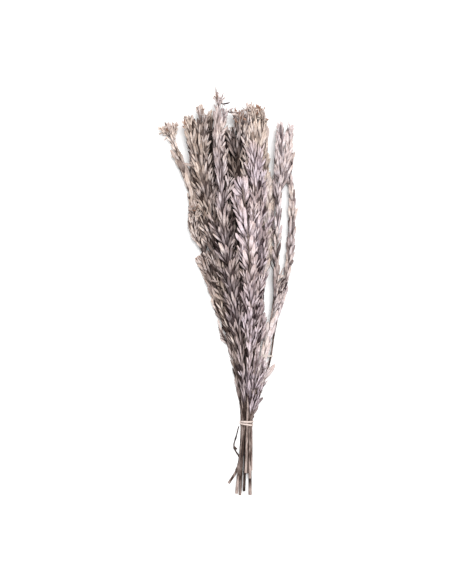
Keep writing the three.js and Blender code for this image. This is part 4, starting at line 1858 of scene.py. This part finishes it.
def stems_of_the_bunch() -> list[LeafyStem]:
    """Describe the stems of the bunch.

    Returns:
        The eleven stems, from the lowest row to the top one.
    """
    return [
        LeafyStem(
            "leafy_stem_far_left", Tone.TAN, (-26.8, -89.5, 2.1), 0, 0,
            ((-11.5, 47, 5), (-22, 109, 7), (-42, 182, 8), (-61, 250, 8.5), (-77, 321, 9), (-91, 373, 10),
             (-105, 405, 10), (-115, 433, 9)),
            flare=62, pale=0.64, paler=((230, 0.0), (315, 0.2), (370, 0.25), (400, 0.5)), bark_pale=0.5,
            sizes=((372, 1.0), (385, 0.62), (400, 0.66), (425, 0.95)),
            habits=((312, SHEATH), (376, LeafHabit())),
            bend=(-13.2, -66, 2.4), florets=5, head_size=0.95,
            shoots=(Shoot(140, ((-50, 196, 8.5), (-66, 240, 8)), 42),
                    Shoot(236, ((-75, 275, 15), (-77, 315, 18)), 50, habit=SPARSE)),
            sprigs=((95, 360), (270, 360)),
            curly=((386, 396, -1, 0), (205, 246, -1, 0), (252, 308, -1, 2), (256, 308, 1, 2),
                   (262, 318, -1, 0), (300, 330, 1, 0)),
            bare_twigs=(((-11.4, -50, 2.6), (-19, -35, 4), (-15.3, -19, 5), (-11.8, -4.8, 5.6)),
                        ((-19, -35, 4), (-16.4, -37.6, 4.6), (-14.2, -38.4, 4.8)),
                        ((-22.5, 111, 7), (-30, 119, 7.5), (-36, 129, 7.5))),
        ),
        LeafyStem(
            "leafy_stem_centre_back", Tone.TAN_SHADED, (-10, -107, 2.1), 0, 1,
            ((-5.5, 47, 5), (-12, 113, 7), (-21, 197, 8), (-29, 277, 8.5), (-31, 351, 9), (-29, 424, 9)),
            flare=30, pale=0.4, bark_pale=0.45, bend=(-5.8, -32, 2.6), sprigs=((100, 385),),
            shoots=(Shoot(235, ((-38, 285, 11), (-50, 360, 13), (-54, 442, 13)), 20, pale=0.25),),
        ),
        LeafyStem(
            "leafy_stem_right_centre", Tone.TAN, (-1.8, -75, 2.1), 0, 2,
            ((3.5, 47, 5), (9, 113, 7), (15, 197, 8), (22, 277, 8.5), (26, 358, 9), (27, 430, 9)),
            flare=28, pale=0.75, paler=((210, 0.0), (260, 0.5)), bark_pale=0.6, sprigs=((100, 390),),
            shoots=(Shoot(185, ((25, 236, 12), (31, 280, 14), (31, 350, 14)), 25, pale=0.7, habit=SHEATH),),
        ),
        LeafyStem(
            "leafy_stem_far_right", Tone.PALE, (5, -106.5, 2.7), 0, 3,
            ((18.5, 41, 5.5), (27, 67, 7), (35, 97, 8), (40, 130, 8.5), (47, 163, 9), (54, 196, 9),
             (61, 230, 9), (65.5, 278, 9.5), (67, 325, 10), (64, 388, 9)),
            flare=25, pale=0.95, bark_pale=0.5, bend=(4.7, -28, 2.9), bare=128, habits=((200, SPREADING),),
            lone_leaves=((3, 0.4, 0.2), (9, 0.7, 0.45), (24, 0.8, 0.5), (64, 1.1, 0.95)),
            curly=((165, 200, -1, 0),), cut_radius=2.6 * MM,
        ),
        LeafyStem(
            "leafy_stem_left", Tone.TAN, (-15, -104, 7.0), 1, 0,
            ((-8, 47, 11), (-16, 113, 17), (-31, 197, 21), (-47, 270, 24), (-60, 336, 25), (-69, 402, 25),
             (-67, 456, 24)),
            flare=27, pale=0.52, paler=((270, 0.0), (400, 0.2)), bark_pale=0.65, bare=44, florets=2,
            sprigs=((90, 425), (280, 430)), cut_radius=2.4 * MM,
            shoots=(Shoot(325, ((-75, 387, 29), (-84, 436, 30)), 38),
                    Shoot(422, ((-78, 440, 31), (-92, 450, 31)), 14, size=0.5)),
        ),
        LeafyStem(
            "leafy_stem_centre", Tone.TAN_SHADED, (-4, -100.5, 6.8), 1, 1,
            ((-1.5, 47, 10.5), (-4, 113, 16), (-8, 197, 20), (-12, 277, 23), (-13, 358, 24),
             (-10, 446, 22)),
            flare=50, pale=0.6, paler=((330, 0.0), (380, -0.2), (430, 0.3)), bark_pale=0.25, florets=7,
            floret_length=1.35, sprigs=((95, 410), (350, 430)),
        ),
        LeafyStem(
            "leafy_stem_crown", Tone.TAN, (2.1, -74, 6.9), 1, 2,
            ((4.5, 47, 11), (7, 113, 17), (4, 197, 22), (5, 277, 25), (8, 358, 26), (12, 452, 25)),
            flare=54, pale=0.6, paler=((330, 0.0), (400, 0.4), (435, 0.7)), bark_pale=0.35, bare=19,
            florets=8, floret_length=1.5, sprigs=((14, 40), (95, 425), (350, 440)),
            shoots=(Shoot(348, ((19, 402, 29), (25, 448, 31)), 48),),
        ),
        LeafyStem(
            "leafy_stem_right", Tone.PALE, (6.4, -70, 7), 1, 3,
            ((12, 47, 11), (24, 97, 13), (32, 135, 15), (39, 178, 17.5), (43, 230, 20), (44, 285, 22),
             (47, 343, 23), (50, 395, 23), (48.5, 431, 22)),
            flare=26, pale=0.85, bark_pale=0.7,
            paler=((50, 0.1), (70, 0.75), (150, 0.75), (190, -0.05), (330, 0.0), (400, 0.25)),
            bend=(6.7, -26, 6.5), bare=14, curly=((168, 212, 1, 0),), sprigs=((40, 62), (335, 405)),
            habits=((58, SHEATH), (150, LeafHabit())),
            shoots=(Shoot(335, ((58, 387, 26), (66, 426, 27)), 32),),
        ),
        LeafyStem(
            "leafy_stem_tall", Tone.PALE, (-9.5, -77, 11.2), 2, 0,
            ((-4.5, 47, 17), (-10, 113, 26), (-21, 197, 34), (-33, 277, 38), (-39, 343, 39), (-44, 417, 38),
             (-41, 474, 36)),
            flare=52, pale=0.54, paler=((200, -0.1), (300, -0.1), (340, 0.1), (420, 0.3)), bark_pale=0.3,
            bare=24, florets=2, head_size=0.55, sizes=((430, 1.0), (460, 0.75)), sprigs=((100, 420),),
            spikes=((467, 0.95, -90, 16), (468, 0.75, 90, 74)),
            shoots=(Shoot(408, ((-37, 440, 40), (-31, 455, 39), (-20, 455, 36)), 30, pale=0.25, size=0.6),),
        ),
        LeafyStem(
            "leafy_stem_front", Tone.ROSE, (-1.5, -73, 11.3), 2, 1,
            ((1.5, 47, 18), (4, 113, 28), (5, 182, 35), (3, 248, 40), (-2, 307, 42), (-7, 347, 41)),
            flare=30, pale=0.7, paler=((100, 0.12), (150, 0.0), (200, 0.0), (240, 0.26)), bark_pale=0.85,
            habits=((210, PLAIT),), bare=35, sprigs=((100, 300),),
        ),
        LeafyStem(
            "leafy_stem_front_right", Tone.ROSE, (4.4, -81, 11.2), 2, 2,
            ((7.5, 47, 17), (14, 113, 25), (16, 197, 32), (16, 277, 37), (13, 351, 38), (8, 400, 37)),
            flare=30, pale=0.62, paler=((100, 0.12), (150, 0.0), (250, 0.0), (360, 0.2)), bark_pale=0.65,
            bare=11, sprigs=((10, 50), (100, 370)),
        ),
    ]


def main() -> None:
    """Build the bunch, dress it and light it."""
    logging.basicConfig(level=logging.INFO, format="%(message)s")
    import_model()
    Studio().build()
    bark, cut_wood, bud = BarkFinish().material(), CutWoodFinish().material(), BudFinish().material()
    skins = {tone: tone.value.material() for tone in Tone}
    stems = stems_of_the_bunch()
    air = Air()
    woods = [stem.build_wood(bark, cut_wood, air) for stem in stems]
    # The top row grows first, because it shows most.
    grown = [(stem, wood, stem.grow_heads(air), stem.grow_leaves(air))
             for stem, wood in sorted(zip(stems, woods), key=lambda pair: -pair[0].row)]
    air.settle()
    for stem, wood, heads, leaves in grown:
        # Paint shade on the leaves that lie under others or in a slit.
        leaves.paint_cover_shade(air)
        skin = skins[stem.tone]
        pieces = (wood, leaves.piece(f"{stem.node}_leaves", (skin,)),
                  heads.piece(f"{stem.node}_heads", (skin, bud, bark)))
        for piece in pieces:
            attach(piece, "root")
            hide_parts(stem.node)
        LOG.info("%s: %d leaf forms, %d head forms", stem.node, len(leaves.corners), len(heads.corners))
    tie = RaffiaTie().build(stems, RaffiaFinish().material())
    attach(tie, "root")
    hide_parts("tie")
    LOG.info("%s: %d faces", tie.name, len(tie.data.polygons))
    threaded = [stem for stem in stems if stem.node in ("leafy_stem_far_right", "leafy_stem_right")]
    thread = SideThread().build(threaded, ThreadFinish().material())
    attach(thread, "root")
    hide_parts("side_thread")
    LOG.info("%s: %d faces", thread.name, len(thread.data.polygons))
    bpy.context.view_layer.update()


if __name__ == "__main__":
    main()
